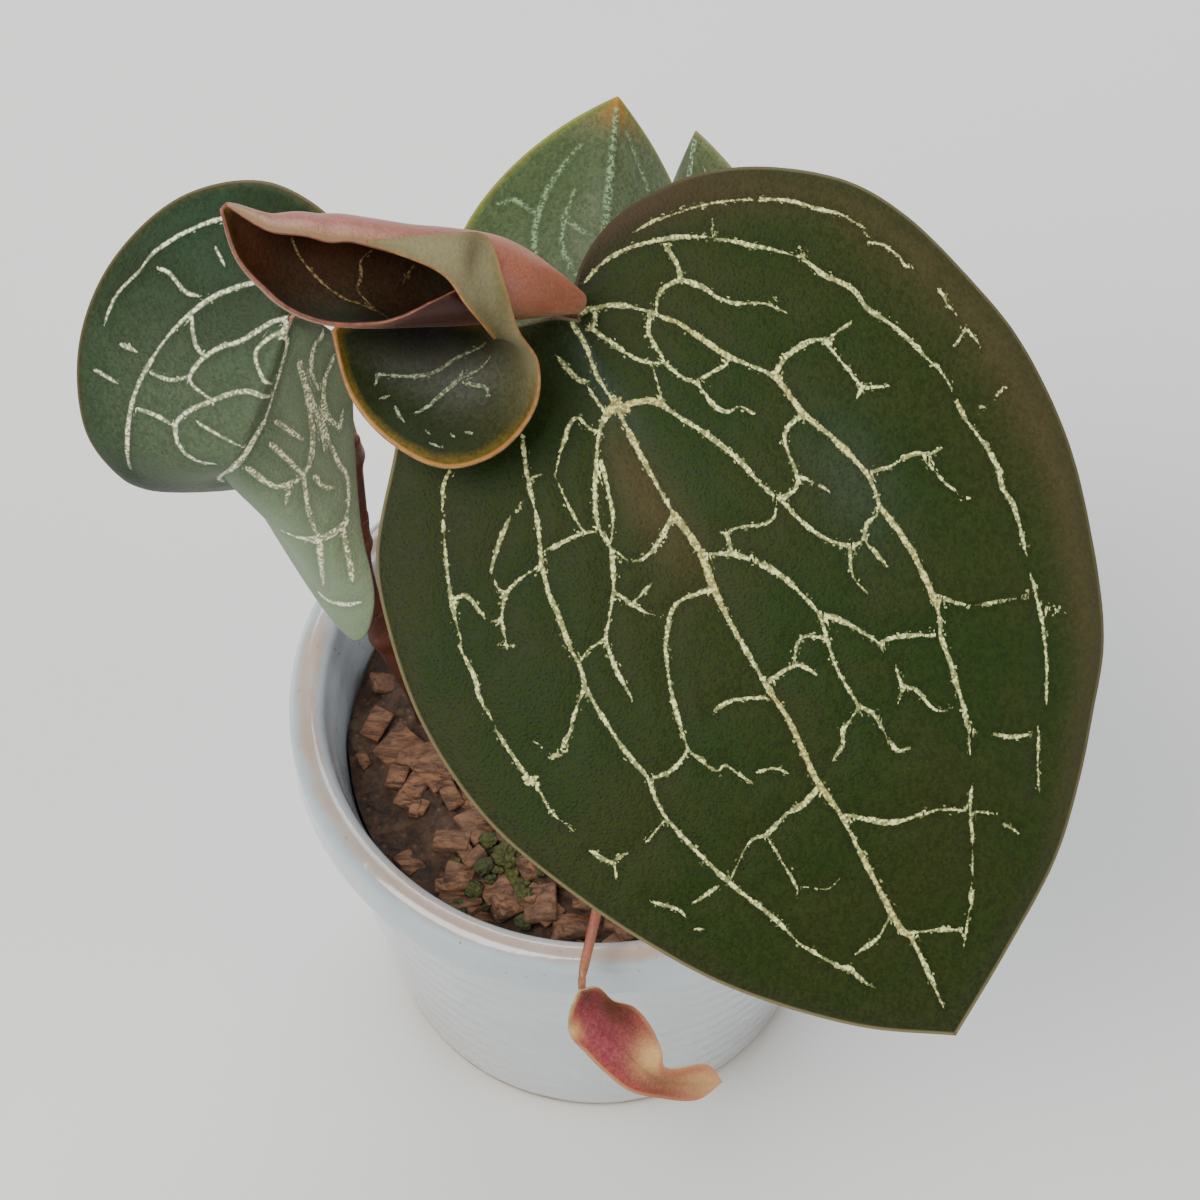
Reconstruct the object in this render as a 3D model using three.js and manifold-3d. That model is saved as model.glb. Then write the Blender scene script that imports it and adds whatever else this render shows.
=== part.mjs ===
// A jewel orchid growing in a small glazed pot, in millimetres, +Z up.
// The origin is the middle of the pot's foot, on the surface that it stands on. +Y is the back of the plant.
import * as THREE from "three";
import { mergeVertices } from "three/addons/utils/BufferGeometryUtils.js";
import Module from "manifold-3d";

const wasm = await Module();
wasm.setup();

// ---- Driving dimensions ----
const POT_HEIGHT = 44;
const RIM_RADIUS = 27;
const FOOT_RADIUS = 19.5;
const WALL = 2.6;
const SOIL_TOP = 38;
const BLADE_THICKNESS = 0.8;
const GAP = 0.3;

const v3 = (p) => new THREE.Vector3(...p);

// A smooth curve through hand-placed points.
const curveThrough = (points) =>
  new THREE.CatmullRomCurve3(points.map(v3), false, "centripetal");

// A smooth value through a list of values that are spread evenly over places from 0 to 1.
function evenly(values) {
  const curve = curveThrough(values.map((value, i) => [i, value, 0]));
  return (place) => curve.getPoint(place).y;
}

// A smooth value along a short list of [place, value] settings.
function setting(list, place) {
  if (typeof list === "number") return list;
  const last = list.length - 1;
  if (place <= list[0][0]) return list[0][1];
  if (place >= list[last][0]) return list[last][1];
  const i = list.findIndex((item) => item[0] > place) - 1;
  const [x0, y0] = list[i];
  const [x1, y1] = list[i + 1];
  const t = (place - x0) / (x1 - x0);
  return y0 + (y1 - y0) * t * t * (3 - 2 * t);
}

// ---- Closed solids from grids of points ----

// A geometry from vertices and triangles, with doubles merged and collapsed triangles dropped.
function geometryFrom(vertices, triangles) {
  const flat = new Float32Array(vertices.flatMap((p) => [p.x, p.y, p.z]));
  const raw = new THREE.BufferGeometry();
  raw.setAttribute("position", new THREE.BufferAttribute(flat, 3));
  raw.setIndex(triangles.flat());
  const merged = mergeVertices(raw, 1e-4);
  const index = merged.index.array;
  const kept = [];
  for (let i = 0; i < index.length; i += 3) {
    const [a, b, c] = [index[i], index[i + 1], index[i + 2]];
    if (a !== b && b !== c && c !== a) kept.push(a, b, c);
  }
  merged.setIndex(kept);
  return merged;
}

// A thin solid with surfaceAt(u, v) halfway through it, u and v from 0 to 1.
// surfaceAt returns the point and the direction that the upper face looks in.
function thinSolid(surfaceAt, uSteps, vSteps, thickness) {
  const vertices = [];
  for (const side of [1, -1]) {
    for (let j = 0; j <= vSteps; j++) {
      for (let i = 0; i <= uSteps; i++) {
        const { point, normal } = surfaceAt(i / uSteps, j / vSteps);
        vertices.push(point.clone().addScaledVector(normal, (side * thickness) / 2));
      }
    }
  }
  const row = uSteps + 1;
  const under = row * (vSteps + 1);
  const triangles = [];
  for (let j = 0; j < vSteps; j++) {
    for (let i = 0; i < uSteps; i++) {
      const a = j * row + i;
      const [b, c, d] = [a + 1, a + 1 + row, a + row];
      triangles.push([a, b, c], [a, c, d]);
      triangles.push([under + a, under + c, under + b], [under + a, under + d, under + c]);
    }
  }
  const wall = (a, b) => triangles.push([a, under + a, under + b], [a, under + b, b]);
  for (let i = 0; i < uSteps; i++) {
    wall(i, i + 1);
    wall(vSteps * row + i + 1, vSteps * row + i);
  }
  for (let j = 0; j < vSteps; j++) {
    wall((j + 1) * row, j * row);
    wall(j * row + uSteps, (j + 1) * row + uSteps);
  }
  return geometryFrom(vertices, triangles);
}

// A round stalk along a curve, with the radius given by radiusAt(t), closed by flat ends.
function stalk(curve, radiusAt, steps, sides) {
  const frames = curve.computeFrenetFrames(steps, false);
  const vertices = [];
  for (let j = 0; j <= steps; j++) {
    const centre = curve.getPointAt(j / steps);
    for (let i = 0; i < sides; i++) {
      const angle = (2 * Math.PI * i) / sides;
      vertices.push(
        centre
          .clone()
          .addScaledVector(frames.normals[j], radiusAt(j / steps) * Math.cos(angle))
          .addScaledVector(frames.binormals[j], radiusAt(j / steps) * Math.sin(angle)),
      );
    }
  }
  const triangles = [];
  for (let j = 0; j < steps; j++) {
    for (let i = 0; i < sides; i++) {
      const a = j * sides + i;
      const b = j * sides + ((i + 1) % sides);
      triangles.push([a, b, b + sides], [a, b + sides, a + sides]);
    }
  }
  const top = steps * sides;
  for (let i = 1; i < sides - 1; i++) {
    triangles.push([0, i + 1, i], [top, top + i, top + i + 1]);
  }
  return geometryFrom(vertices, triangles);
}

// ---- Joining and cutting ----
function solidOf(geometry) {
  const bare = new THREE.BufferGeometry();
  bare.setAttribute("position", geometry.getAttribute("position"));
  bare.setIndex(geometry.index);
  const merged = mergeVertices(bare, 1e-4);
  return new wasm.Manifold(
    new wasm.Mesh({
      numProp: 3,
      vertProperties: merged.attributes.position.array,
      triVerts: new Uint32Array(merged.index.array),
    }),
  );
}

function geometryOf(solid) {
  const mesh = solid.getMesh();
  const geometry = new THREE.BufferGeometry();
  geometry.setAttribute("position", new THREE.BufferAttribute(mesh.vertProperties, 3));
  geometry.setIndex(new THREE.BufferAttribute(mesh.triVerts, 1));
  return geometry;
}

const joined = (...geometries) =>
  geometryOf(geometries.map(solidOf).reduce((all, next) => all.add(next)));

const cut = (geometry, ...tools) =>
  geometryOf(tools.map(solidOf).reduce((left, tool) => left.subtract(tool), solidOf(geometry)));

// ---- Leaf blades ----
// A blade is drawn flat first: "along" runs from the leaf's base to its tip and "across" to its right,
// both in lengths of the blade. Its veins sweep out of the base and meet again at the tip.
const ROUND_OUTLINE = [
  [0, 0],
  [-0.06, 0.035],
  [-0.09, 0.1],
  [-0.085, 0.2],
  [-0.03, 0.32],
  [0.1, 0.415],
  [0.28, 0.44],
  [0.48, 0.4],
  [0.68, 0.3],
  [0.85, 0.165],
  [0.95, 0.06],
  [1, 0],
];

const RIB_POWER = 1.1;

function bladeSurface(leaf) {
  const { length, spine, face, fold, curl } = leaf;
  const midrib = curveThrough(spine);
  const outline = {
    left: curveThrough(leaf.left.map(([a, w]) => [a * length, -w * length, 0])),
    right: curveThrough(leaf.right.map(([a, w]) => [a * length, w * length, 0])),
  };
  const facing = curveThrough(face);

  // The blade's point over the flat place (along, across).
  function bent(along, across) {
    const s = along / length;
    const t = Math.min(Math.max(s, 0), 1);
    const origin = midrib.getPointAt(t);
    const tangent = midrib.getTangentAt(t);
    const up = facing.getPoint(t);
    const rightward = tangent.clone().cross(up).normalize();
    const normal = rightward.clone().cross(tangent).normalize();
    const side = across < 0 ? "left" : "right";
    const reach = Math.abs(across);
    const slope = THREE.MathUtils.degToRad(setting(fold[side], s));
    const turn = THREE.MathUtils.degToRad(setting(curl[side], s)) / length || 1e-6;
    const end = slope + turn * reach;
    const outward = (Math.sin(end) - Math.sin(slope)) / turn;
    const rise = (Math.cos(slope) - Math.cos(end)) / turn;
    return origin
      .clone()
      .addScaledVector(tangent, (s - t) * length)
      .addScaledVector(rightward, Math.sign(across) * outward)
      .addScaledVector(normal, rise);
  }

  return (u, v) => {
    const half = 2 * u - 1;
    const side = half < 0 ? "left" : "right";
    const edge = outline[side].getPoint(v);
    const rib = length * v ** RIB_POWER;
    const reach = Math.abs(half);
    const along = rib + (edge.x - rib) * reach;
    const across = edge.y * reach;
    const step = 0.05;
    const point = bent(along, across);
    const ahead = bent(along + step, across).sub(bent(along - step, across));
    const sideways = bent(along, across + step).sub(bent(along, across - step));
    return { point, normal: sideways.cross(ahead).normalize() };
  };
}

// Adds the facing direction to a plain surface by looking a little to each side. A row that closes in one
// point takes the direction just beside it.
function withNormals(at) {
  const near = 0.004;
  const poleWidth = 1e-6;
  return (u, v) => {
    const pole = at(0, v).distanceTo(at(1, v)) < poleWidth;
    const [uc, vc] = pole ? [0.5, THREE.MathUtils.clamp(v, 0.03, 0.97)] : [u, v];
    const [u0, u1] = [Math.max(uc - near, 0), Math.min(uc + near, 1)];
    const [v0, v1] = [Math.max(vc - near, 0), Math.min(vc + near, 1)];
    const alongU = at(u1, vc).sub(at(u0, vc));
    const alongV = at(uc, v1).sub(at(uc, v0));
    return { point: at(u, v), normal: alongU.cross(alongV).normalize() };
  };
}

// A blade hung on three rails, each a curve from the leaf's base to its tip: left margin, midrib and right
// margin. crown lifts each half between its rails, as a share of the half's width.
function railSurface({ left, midrib, right, crown }) {
  const edges = { left: curveThrough(left), right: curveThrough(right) };
  const middle = curveThrough(midrib);
  return withNormals((u, v) => {
    const half = 2 * u - 1;
    const side = half < 0 ? "left" : "right";
    const reach = Math.abs(half);
    const origin = middle.getPoint(v);
    const outward = edges[side].getPoint(v).sub(origin);
    const up = outward.clone().cross(middle.getTangent(v)).normalize();
    if (side === "left") up.negate();
    const lift = crown[side] * reach * (1 - reach) * outward.length();
    return origin.addScaledVector(outward, reach).addScaledVector(up, lift);
  });
}

// A strip between two edges, hollowed by sag(v) halfway across.
function stripSurface({ inner, outer, sag }) {
  const edges = [curveThrough(inner), curveThrough(outer)];
  const flat = (u, v) => edges[0].getPoint(v).lerp(edges[1].getPoint(v), u);
  const facing = withNormals(flat);
  return withNormals((u, v) =>
    flat(u, v).addScaledVector(facing(0.5, v).normal, 4 * u * (1 - u) * setting(sag, v)),
  );
}

// A sheet rolled round an axis, from its upper edge over the top and round the back to its lower edge.
// Its edges are angles in degrees, 0 to the front and 90 to the top.
function rolledSurface({ axis, radius, upperEdge, lowerEdge, front }) {
  const centreLine = curveThrough(axis);
  const frontward = v3(front);
  const [radiusAt, upperAt, lowerAt] = [radius, upperEdge, lowerEdge].map(evenly);
  return withNormals((u, v) => {
    const tangent = centreLine.getTangentAt(v);
    const top = tangent.clone().cross(frontward).normalize();
    const ahead = top.clone().cross(tangent).normalize();
    const angle = THREE.MathUtils.degToRad(THREE.MathUtils.lerp(upperAt(v), lowerAt(v), u));
    return centreLine
      .getPointAt(v)
      .addScaledVector(ahead, radiusAt(v) * Math.cos(angle))
      .addScaledVector(top, radiusAt(v) * Math.sin(angle));
  });
}

// ---- Stems ----
// Each stem rises from inside the substrate, with a swollen ring at every place where a leaf grew.
const STEMS = {
  stem_main: {
    path: [[4, 0, 27], [3.9, 0.1, 38], [3, 1, 52], [1.2, 2.6, 68], [-0.6, 4.4, 82], [-2.5, 6.4, 92.8]],
    radius: 1.25,
    rings: [0.34, 0.5, 0.64, 0.79, 0.88, 0.97],
  },
  stem_side: {
    path: [
      [-15, 2, 27], [-15.6, 2.4, 38], [-19, 4.6, 47], [-20.3, 5.9, 54], [-20.5, 7.2, 62], [-20.7, 8.7, 70],
    ],
    radius: 1.05,
    rings: [0.45, 0.72, 0.96],
  },
};
const RING_SWELL = 0.3;
const RING_LENGTH = 0.022;

function stemGeometry({ path, radius, rings }, grow = 0) {
  const swell = (t, ring) => RING_SWELL * Math.exp(-(((t - ring) / RING_LENGTH) ** 2));
  const radiusAt = (t) => radius + grow + rings.reduce((sum, ring) => sum + swell(t, ring), 0);
  return stalk(curveThrough(path), radiusAt, 36, 8);
}

// ---- Leaf blades drawn flat, then bent ----
const LARGE_NEAR = [
  [0, 0], [-0.015, 0.02], [-0.03, 0.07], [-0.042, 0.13], [-0.03, 0.19], [0, 0.24], [0.05, 0.285],
  [0.14, 0.355], [0.22, 0.382], [0.35, 0.4], [0.49, 0.384], [0.62, 0.332], [0.72, 0.278], [0.81, 0.217],
  [0.93, 0.1], [1, 0],
];
const LARGE_FAR = [
  [0, 0], [-0.03, 0.01], [-0.061, 0.039], [-0.087, 0.092], [-0.094, 0.152], [-0.089, 0.213], [-0.06, 0.288],
  [0.003, 0.372], [0.07, 0.415], [0.176, 0.45], [0.27, 0.47], [0.4, 0.468], [0.51, 0.443], [0.65, 0.39],
  [0.73, 0.33], [0.79, 0.28], [0.86, 0.21], [0.93, 0.108], [1, 0],
];

const FLAT_LEAVES = {
  leaf_large: {
    length: 62.5,
    left: LARGE_FAR,
    right: LARGE_NEAR,
    spine: [[-1.5, 2, 96], [8.2, -14.7, 88.2], [18, -30.4, 78.5], [27.4, -43.6, 65.8]],
    face: [[-0.05, -0.5, 0.85], [0, -0.53, 0.85], [0.05, -0.56, 0.8]],
    fold: { left: 4, right: 4 },
    curl: { left: [[0, -40], [1, -60]], right: -35 },
    steps: [18, 20],
    petiole: {
      path: [
        [-0.5, 4.3, 81.5], [-1.3, 2, 86.5], [-1.9, 1.9, 92], [-1.6, 2, 94.9], [0.2, -0.7, 93.7],
        [2.5, -4.7, 91.6],
      ],
      radius: [[0, 1], [0.6, 0.85], [1, 0.5]],
      from: "stem_main",
    },
  },
  leaf_back: {
    length: 29,
    left: ROUND_OUTLINE,
    right: ROUND_OUTLINE,
    spine: [[-0.5, 8.7, 86], [0.2, 15, 86.8], [1, 22.2, 88], [1.6, 29.2, 89.4]],
    face: [[-0.3, -0.5, 0.85], [-0.3, -0.4, 0.9], [-0.2, -0.3, 1]],
    fold: { left: 8, right: -52 },
    curl: { left: -40, right: -60 },
    steps: [10, 12],
    petiole: {
      path: [[-0.3, 4.1, 79], [-0.2, 6.6, 81.5], [-0.5, 8.4, 85], [-0.4, 10, 86], [0, 13, 86.2]],
      radius: [[0, 0.95], [0.6, 0.8], [1, 0.45]],
      from: "stem_main",
    },
  },
  leaf_far: {
    length: 28,
    left: ROUND_OUTLINE,
    right: ROUND_OUTLINE,
    spine: [[4.4, 16, 67.5], [5.9, 23, 70.5], [7.3, 30, 73.6], [8.4, 36.9, 75.4]],
    face: [[0.4, -0.3, 0.9], [0.4, -0.3, 0.9], [0.3, -0.2, 1]],
    fold: { left: -85, right: 5 },
    curl: { left: -60, right: -40 },
    steps: [10, 12],
    petiole: {
      path: [[2.1, 1.8, 60], [3, 6, 62.5], [3.9, 12, 66], [4.4, 16, 67.1], [5, 19, 68.2]],
      radius: [[0, 0.9], [0.6, 0.75], [1, 0.45]],
      from: "stem_main",
    },
  },
};

// ---- Blades hung on rails ----
const RAIL_LEAVES = {
  leaf_left: {
    midrib: [
      [-24.2, 6.9, 89.6], [-24.6, 6, 88.9], [-25.2, 4.9, 87.8], [-25.9, 3.6, 86.4], [-26.7, 2.3, 84.6],
      [-27.8, 1, 82.4], [-28.9, 0.1, 79.5], [-30.2, 2.6, 73.9], [-28.4, 6.8, 66.8], [-31.1, 15.4, 54.9],
    ],
    right: [
      [-24.2, 6.9, 89.6], [-19.9, 12.9, 91.6], [-25.5, 17.3, 93.2], [-32.7, 17.5, 91.5], [-38.7, 13.9, 87.5],
      [-41.4, 8.9, 83.2], [-41.1, 4, 78.4], [-38.6, 2.8, 73.2], [-35.6, 8.6, 63.6], [-31.1, 15.4, 54.9],
    ],
    left: [
      [-24.2, 6.9, 89.6], [-22.2, 8.9, 86.2], [-20.4, 9.7, 82], [-19.9, 9.4, 78.8], [-20, 8, 75.6],
      [-19.9, 5.3, 72.1], [-19.5, 1.5, 67.4], [-18.5, -2.3, 62.6], [-20.5, -2, 55.8], [-31.1, 15.4, 54.9],
    ],
    crown: { left: 0.05, right: 0.22 },
    steps: [14, 18],
    petiole: {
      path: [
        [-20.7, 8.8, 70.2], [-21.8, 10.6, 76], [-23.2, 10.6, 83], [-24, 8.4, 87.6], [-24.5, 6.9, 88],
        [-25.3, 5.3, 86.1],
      ],
      radius: [[0, 0.9], [0.6, 0.8], [1, 0.45]],
      from: "stem_side",
    },
  },
  leaf_withered: {
    midrib: [
      [-1.5, -30.6, 47.3], [-0.9, -30.9, 44.9], [0.2, -31.7, 43.4], [1.3, -32.6, 42.2], [2.5, -33.5, 41.2],
      [3.7, -34.3, 40.2], [5.2, -35, 39.4], [8.4, -35.2, 38.8], [10.4, -34.8, 38.6],
    ],
    left: [
      [-1.5, -30.6, 47.3], [0, -29.9, 46.4], [1.3, -30.5, 45.2], [2.9, -30.8, 44.7], [4.3, -31.8, 43.4],
      [5.3, -33.3, 41.6], [5.6, -34.4, 40.6], [9.2, -33.9, 40], [10.4, -34.8, 38.6],
    ],
    right: [
      [-1.5, -30.6, 47.3], [-2.3, -31.8, 45.6], [-2.3, -33.1, 44.1], [-1, -34.1, 42.6], [0.8, -35.3, 41],
      [2.7, -36.2, 39.7], [4.7, -36.4, 39], [8.3, -36.3, 38.3], [10.4, -34.8, 38.6],
    ],
    crown: { left: 0.1, right: 0.1 },
    steps: [8, 10],
    petiole: {
      path: [
        [3.1, 0.9, 49.6], [2.4, -6, 50], [1.2, -15, 48.6], [-0.1, -23.3, 47.4], [-1.3, -29.6, 47.5],
        [-1.3, -30.4, 46],
      ],
      radius: [[0, 0.75], [0.5, 0.5], [0.9, 0.42], [1, 0.3]],
      from: "stem_main",
    },
  },
};

// ---- The young leaf ----
// It is still rolled round its own length, and one lobe folds out over its lip and opens like a spoon.
const YOUNG_LEAF = {
  roll: {
    axis: [
      [-1.6, 1.3, 99.1], [-4.3, 0.2, 102], [-7.9, -1.4, 105.7], [-11.5, -2.7, 107.8], [-15.3, -3.8, 109.5],
      [-20, -4.7, 111.6], [-22, -4.8, 113], [-24.1, -4.6, 114.5], [-26.5, -3.3, 116.9],
    ],
    radius: [0.7, 1.6, 2.4, 3, 3.3, 3.45, 3.7, 3.8, 3.2, 1.9, 0.3],
    upperEdge: [-75, -73, -70, -48, -8, 10, 21, 30, 33, 32, 30],
    lowerEdge: [275, 277, 280, 303, 346, 322, 283, 271, 270, 269, 268],
    front: [0, -0.53, 0.848],
    steps: [18, 18],
  },
  lobe: {
    inner: [
      [-16.4, -4.5, 114.2], [-11.1, -5.4, 111.7], [-9.5, -6.5, 109.6], [-8.3, -6.4, 106.8],
      [-7.7, -5.6, 104.2], [-8.5, -2.3, 101.7], [-10.4, -0.4, 99.4], [-12.7, 0.9, 98.8],
      [-14.9, 1.1, 98.7], [-17.2, 0.8, 98.6], [-19.1, 0.2, 98.6], [-20, -0.9, 98.7],
    ],
    outer: [
      [-16.4, -4.4, 114.4], [-11.4, -2.2, 112.2], [-8.1, -1.2, 110.7], [-6.8, -4, 109.2], [-5.8, -5.7, 105.3],
      [-4.4, -5.9, 101.2], [-4.7, -7.7, 98.2], [-7.3, -10.1, 96], [-11.3, -10.9, 95], [-15.4, -9, 95.5],
      [-18.4, -5.7, 96.6], [-20, -0.9, 98.7],
    ],
    sag: [[0, 0], [0.4, 0.1], [0.6, 1.6], [0.8, 1.8], [1, 0]],
    steps: [6, 20],
  },
  petiole: {
    path: [[-2.5, 6.4, 92.4], [-3.2, 4.8, 95.8], [-3.6, 2.8, 98], [-4, 1.2, 100.4], [-4.7, 0, 102.2]],
    radius: [[0, 0.95], [1, 0.9]],
    from: "stem_main",
  },
};

// ---- The pot and what fills it ----
const SEGMENTS = 36;

// A turned body from a closed profile of [radius, height] points.
function turned(profile) {
  const lathe = new THREE.LatheGeometry(
    profile.map(([r, z]) => new THREE.Vector2(r, z)),
    SEGMENTS,
  );
  lathe.deleteAttribute("normal");
  lathe.deleteAttribute("uv");
  lathe.rotateX(Math.PI / 2);
  return mergeVertices(lathe, 1e-4);
}

const wallOutside = (z) => FOOT_RADIUS + ((RIM_RADIUS - 1.6 - FOOT_RADIUS) * z) / (POT_HEIGHT - 6);
const wallInside = (z) => wallOutside(z) - WALL;
const FLOOR_TOP = 4.5;

function potGeometry() {
  const band = POT_HEIGHT - 6;
  const profile = [
    [0, 0],
    [FOOT_RADIUS - 0.8, 0],
    [FOOT_RADIUS, 0.8],
    [wallOutside(band), band],
    [RIM_RADIUS, band + 0.8],
    [RIM_RADIUS, POT_HEIGHT - 0.9],
    [RIM_RADIUS - 0.9, POT_HEIGHT],
    [RIM_RADIUS - 2.2, POT_HEIGHT],
    [RIM_RADIUS - 3, POT_HEIGHT - 0.9],
    [wallInside(band), band],
    [wallInside(FLOOR_TOP), FLOOR_TOP],
    [0, FLOOR_TOP],
  ];
  return turned(profile);
}

// Low mounds and dips of bark and moss.
function soilHeight(x, y) {
  const mounds = 0.5 * Math.sin(0.55 * x + 1.3) * Math.cos(0.48 * y) + 0.3 * Math.sin(1.1 * x - 0.9 * y);
  return SOIL_TOP + mounds - 0.004 * (x * x + y * y);
}

function substrateGeometry() {
  const inner = (z) => wallInside(z) - GAP;
  const bottom = FLOOR_TOP + GAP;
  const shoulder = SOIL_TOP - 3.2;
  const rings = 5;
  const profile = [[0, bottom], [inner(bottom), bottom], [inner(shoulder), shoulder]];
  for (let i = 0; i < rings; i++) profile.push([inner(SOIL_TOP - 2) * (1 - i / rings), SOIL_TOP]);
  profile.push([0, SOIL_TOP]);
  const body = turned(profile);
  const place = body.getAttribute("position");
  for (let i = 0; i < place.count; i++) {
    if (place.getZ(i) > shoulder + 1) place.setZ(i, soilHeight(place.getX(i), place.getY(i)));
  }
  return cut(body, ...Object.values(STEMS).map((stem) => stemGeometry(stem, GAP)));
}

// ---- Assembly ----
const COLOURS = {
  pot: 0xb9c6cc,
  substrate: 0x4a3526,
  stem_main: 0x6a3d2c,
  stem_side: 0x6a3d2c,
  leaf_large: 0x33432a,
  leaf_left: 0x4b6644,
  leaf_back: 0x6c8052,
  leaf_far: 0x6f7f66,
  leaf_young: 0xb26f5a,
  leaf_withered: 0xb8647a,
};

// The blade with its stalk, cut clear of the stem that it grows from.
function leafGeometry(blades, { path, radius, from }) {
  const stalkSolid = stalk(curveThrough(path), (t) => setting(radius, t), 14, 6);
  return cut(joined(...blades, stalkSolid), stemGeometry(STEMS[from], GAP));
}

const group = new THREE.Group();

function place(name, geometry) {
  const roughness = name === "pot" ? 0.25 : 0.65;
  const material = new THREE.MeshStandardMaterial({ color: COLOURS[name], roughness, metalness: 0 });
  const mesh = new THREE.Mesh(geometry, material);
  mesh.name = name;
  group.add(mesh);
}

place("pot", potGeometry());
place("substrate", substrateGeometry());
for (const [name, stem] of Object.entries(STEMS)) place(name, stemGeometry(stem));
for (const [name, leaf] of Object.entries(FLAT_LEAVES)) {
  place(name, leafGeometry([thinSolid(bladeSurface(leaf), ...leaf.steps, BLADE_THICKNESS)], leaf.petiole));
}
for (const [name, leaf] of Object.entries(RAIL_LEAVES)) {
  place(name, leafGeometry([thinSolid(railSurface(leaf), ...leaf.steps, BLADE_THICKNESS)], leaf.petiole));
}
const { roll, lobe, petiole } = YOUNG_LEAF;
place(
  "leaf_young",
  leafGeometry(
    [
      thinSolid(rolledSurface(roll), ...roll.steps, BLADE_THICKNESS),
      thinSolid(stripSurface(lobe), ...lobe.steps, BLADE_THICKNESS),
    ],
    petiole,
  ),
);

export default group;
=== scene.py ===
"""A jewel orchid growing in a small glazed pot, dressed for its close view.

The script is laid out as an add-on: each piece of the plant is one operator, and main() runs them in order.
Lengths in the leaf data are millimetres; every finished mesh is in metres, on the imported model's own frame.
"""

import math
import random

import bmesh
import bpy
import numpy as np
from bpy.props import FloatProperty, FloatVectorProperty, IntProperty, PointerProperty
from mathutils import Matrix, Vector, kdtree, noise


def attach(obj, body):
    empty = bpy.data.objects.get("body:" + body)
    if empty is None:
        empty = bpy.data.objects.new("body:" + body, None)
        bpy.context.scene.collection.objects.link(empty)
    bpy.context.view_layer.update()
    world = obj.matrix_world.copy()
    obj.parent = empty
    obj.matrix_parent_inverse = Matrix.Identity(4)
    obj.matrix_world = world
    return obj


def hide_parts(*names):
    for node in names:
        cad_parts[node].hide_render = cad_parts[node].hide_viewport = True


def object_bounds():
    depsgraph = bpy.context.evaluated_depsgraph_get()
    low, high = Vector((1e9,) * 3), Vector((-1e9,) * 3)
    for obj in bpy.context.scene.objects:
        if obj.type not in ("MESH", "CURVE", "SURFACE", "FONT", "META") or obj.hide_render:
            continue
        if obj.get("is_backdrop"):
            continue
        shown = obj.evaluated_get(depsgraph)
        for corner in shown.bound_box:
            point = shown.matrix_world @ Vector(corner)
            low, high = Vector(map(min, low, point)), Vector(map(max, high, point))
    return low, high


bl_info = {
    "name": "Jewel Orchid",
    "version": (1, 0, 0),
    "blender": (4, 5, 0),
    "location": "3D View > Sidebar > Orchid",
    "description": "Models a potted jewel orchid with net-veined velvet leaves",
    "category": "Add Mesh",
}

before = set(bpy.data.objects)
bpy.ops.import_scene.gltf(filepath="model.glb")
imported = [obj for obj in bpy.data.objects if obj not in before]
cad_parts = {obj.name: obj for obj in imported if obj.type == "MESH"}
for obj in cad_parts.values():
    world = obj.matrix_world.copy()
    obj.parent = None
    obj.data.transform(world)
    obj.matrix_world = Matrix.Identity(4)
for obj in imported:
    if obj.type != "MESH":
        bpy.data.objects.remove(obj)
CAD_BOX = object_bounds()
MM = 0.001
WELD = 0.001 * MM
# A short step across or along a leaf, as a share of it.
NEAR = 0.004


def tone(red, green, blue):
    """A display colour, 0 to 255, as the linear colour that shaders use."""
    shares = [part / 255 for part in (red, green, blue)]
    linear = [s / 12.92 if s <= 0.04045 else ((s + 0.055) / 1.055) ** 2.4 for s in shares]
    return (*linear, 1.0)


def tinted(colour, red, green, blue):
    """The colour with each of its parts multiplied by its own share."""
    return tuple(min(part * share, 1.0) for part, share in zip(colour[:3], (red, green, blue))) + (1.0,)


def shaded(colour, share):
    """The colour made darker or paler by one share."""
    return tinted(colour, share, share, share)


# ---- Sizes and colours that a user may change ----


def length_setting(name, description, default):
    return FloatProperty(
        name=name, description=description, default=default, min=0.0, unit="LENGTH", precision=5
    )


def colour_setting(name, description, *display):
    return FloatVectorProperty(
        name=name, description=description, default=tone(*display), size=4, min=0.0, max=1.0, subtype="COLOR"
    )


class OrchidSizes(bpy.types.PropertyGroup):
    """Sizes of the fine work; the plant's own outline follows the model."""

    blade: length_setting("Blade", "Thickness of a leaf at its middle", 0.00055)
    edge: length_setting("Edge", "Thickness of a leaf at its margin", 0.00022)
    quilting: length_setting("Quilting", "How far the blade swells between its veins", 0.00014)
    chips: IntProperty(name="Bark chips", description="Pieces of bark in the pot", default=340, min=0)
    tufts: IntProperty(name="Moss tufts", description="Tufts of moss between the bark", default=260, min=0)


class OrchidColours(bpy.types.PropertyGroup):
    """Main colours of the plant, its pot and the stage."""

    velvet: colour_setting("Velvet", "Upper face of the full-grown leaves", 33, 50, 12)
    velvet_patch: colour_setting("Velvet patch", "Browner patches of the upper face", 42, 50, 16)
    vein: colour_setting("Vein", "Net of pale veins", 204, 194, 132)
    pink: colour_setting("Pink", "Under face of the leaves", 206, 138, 116)
    stem: colour_setting("Stem", "Stems and their rings", 74, 36, 24)
    glaze: colour_setting("Glaze", "Glaze of the pot", 184, 198, 204)
    floor: colour_setting("Floor", "Pale floor of the stage", 226, 226, 222)


# ---- Curves and surfaces ----


def unit(v):
    return v / np.maximum(np.linalg.norm(v, axis=-1, keepdims=True), 1e-12)


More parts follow.
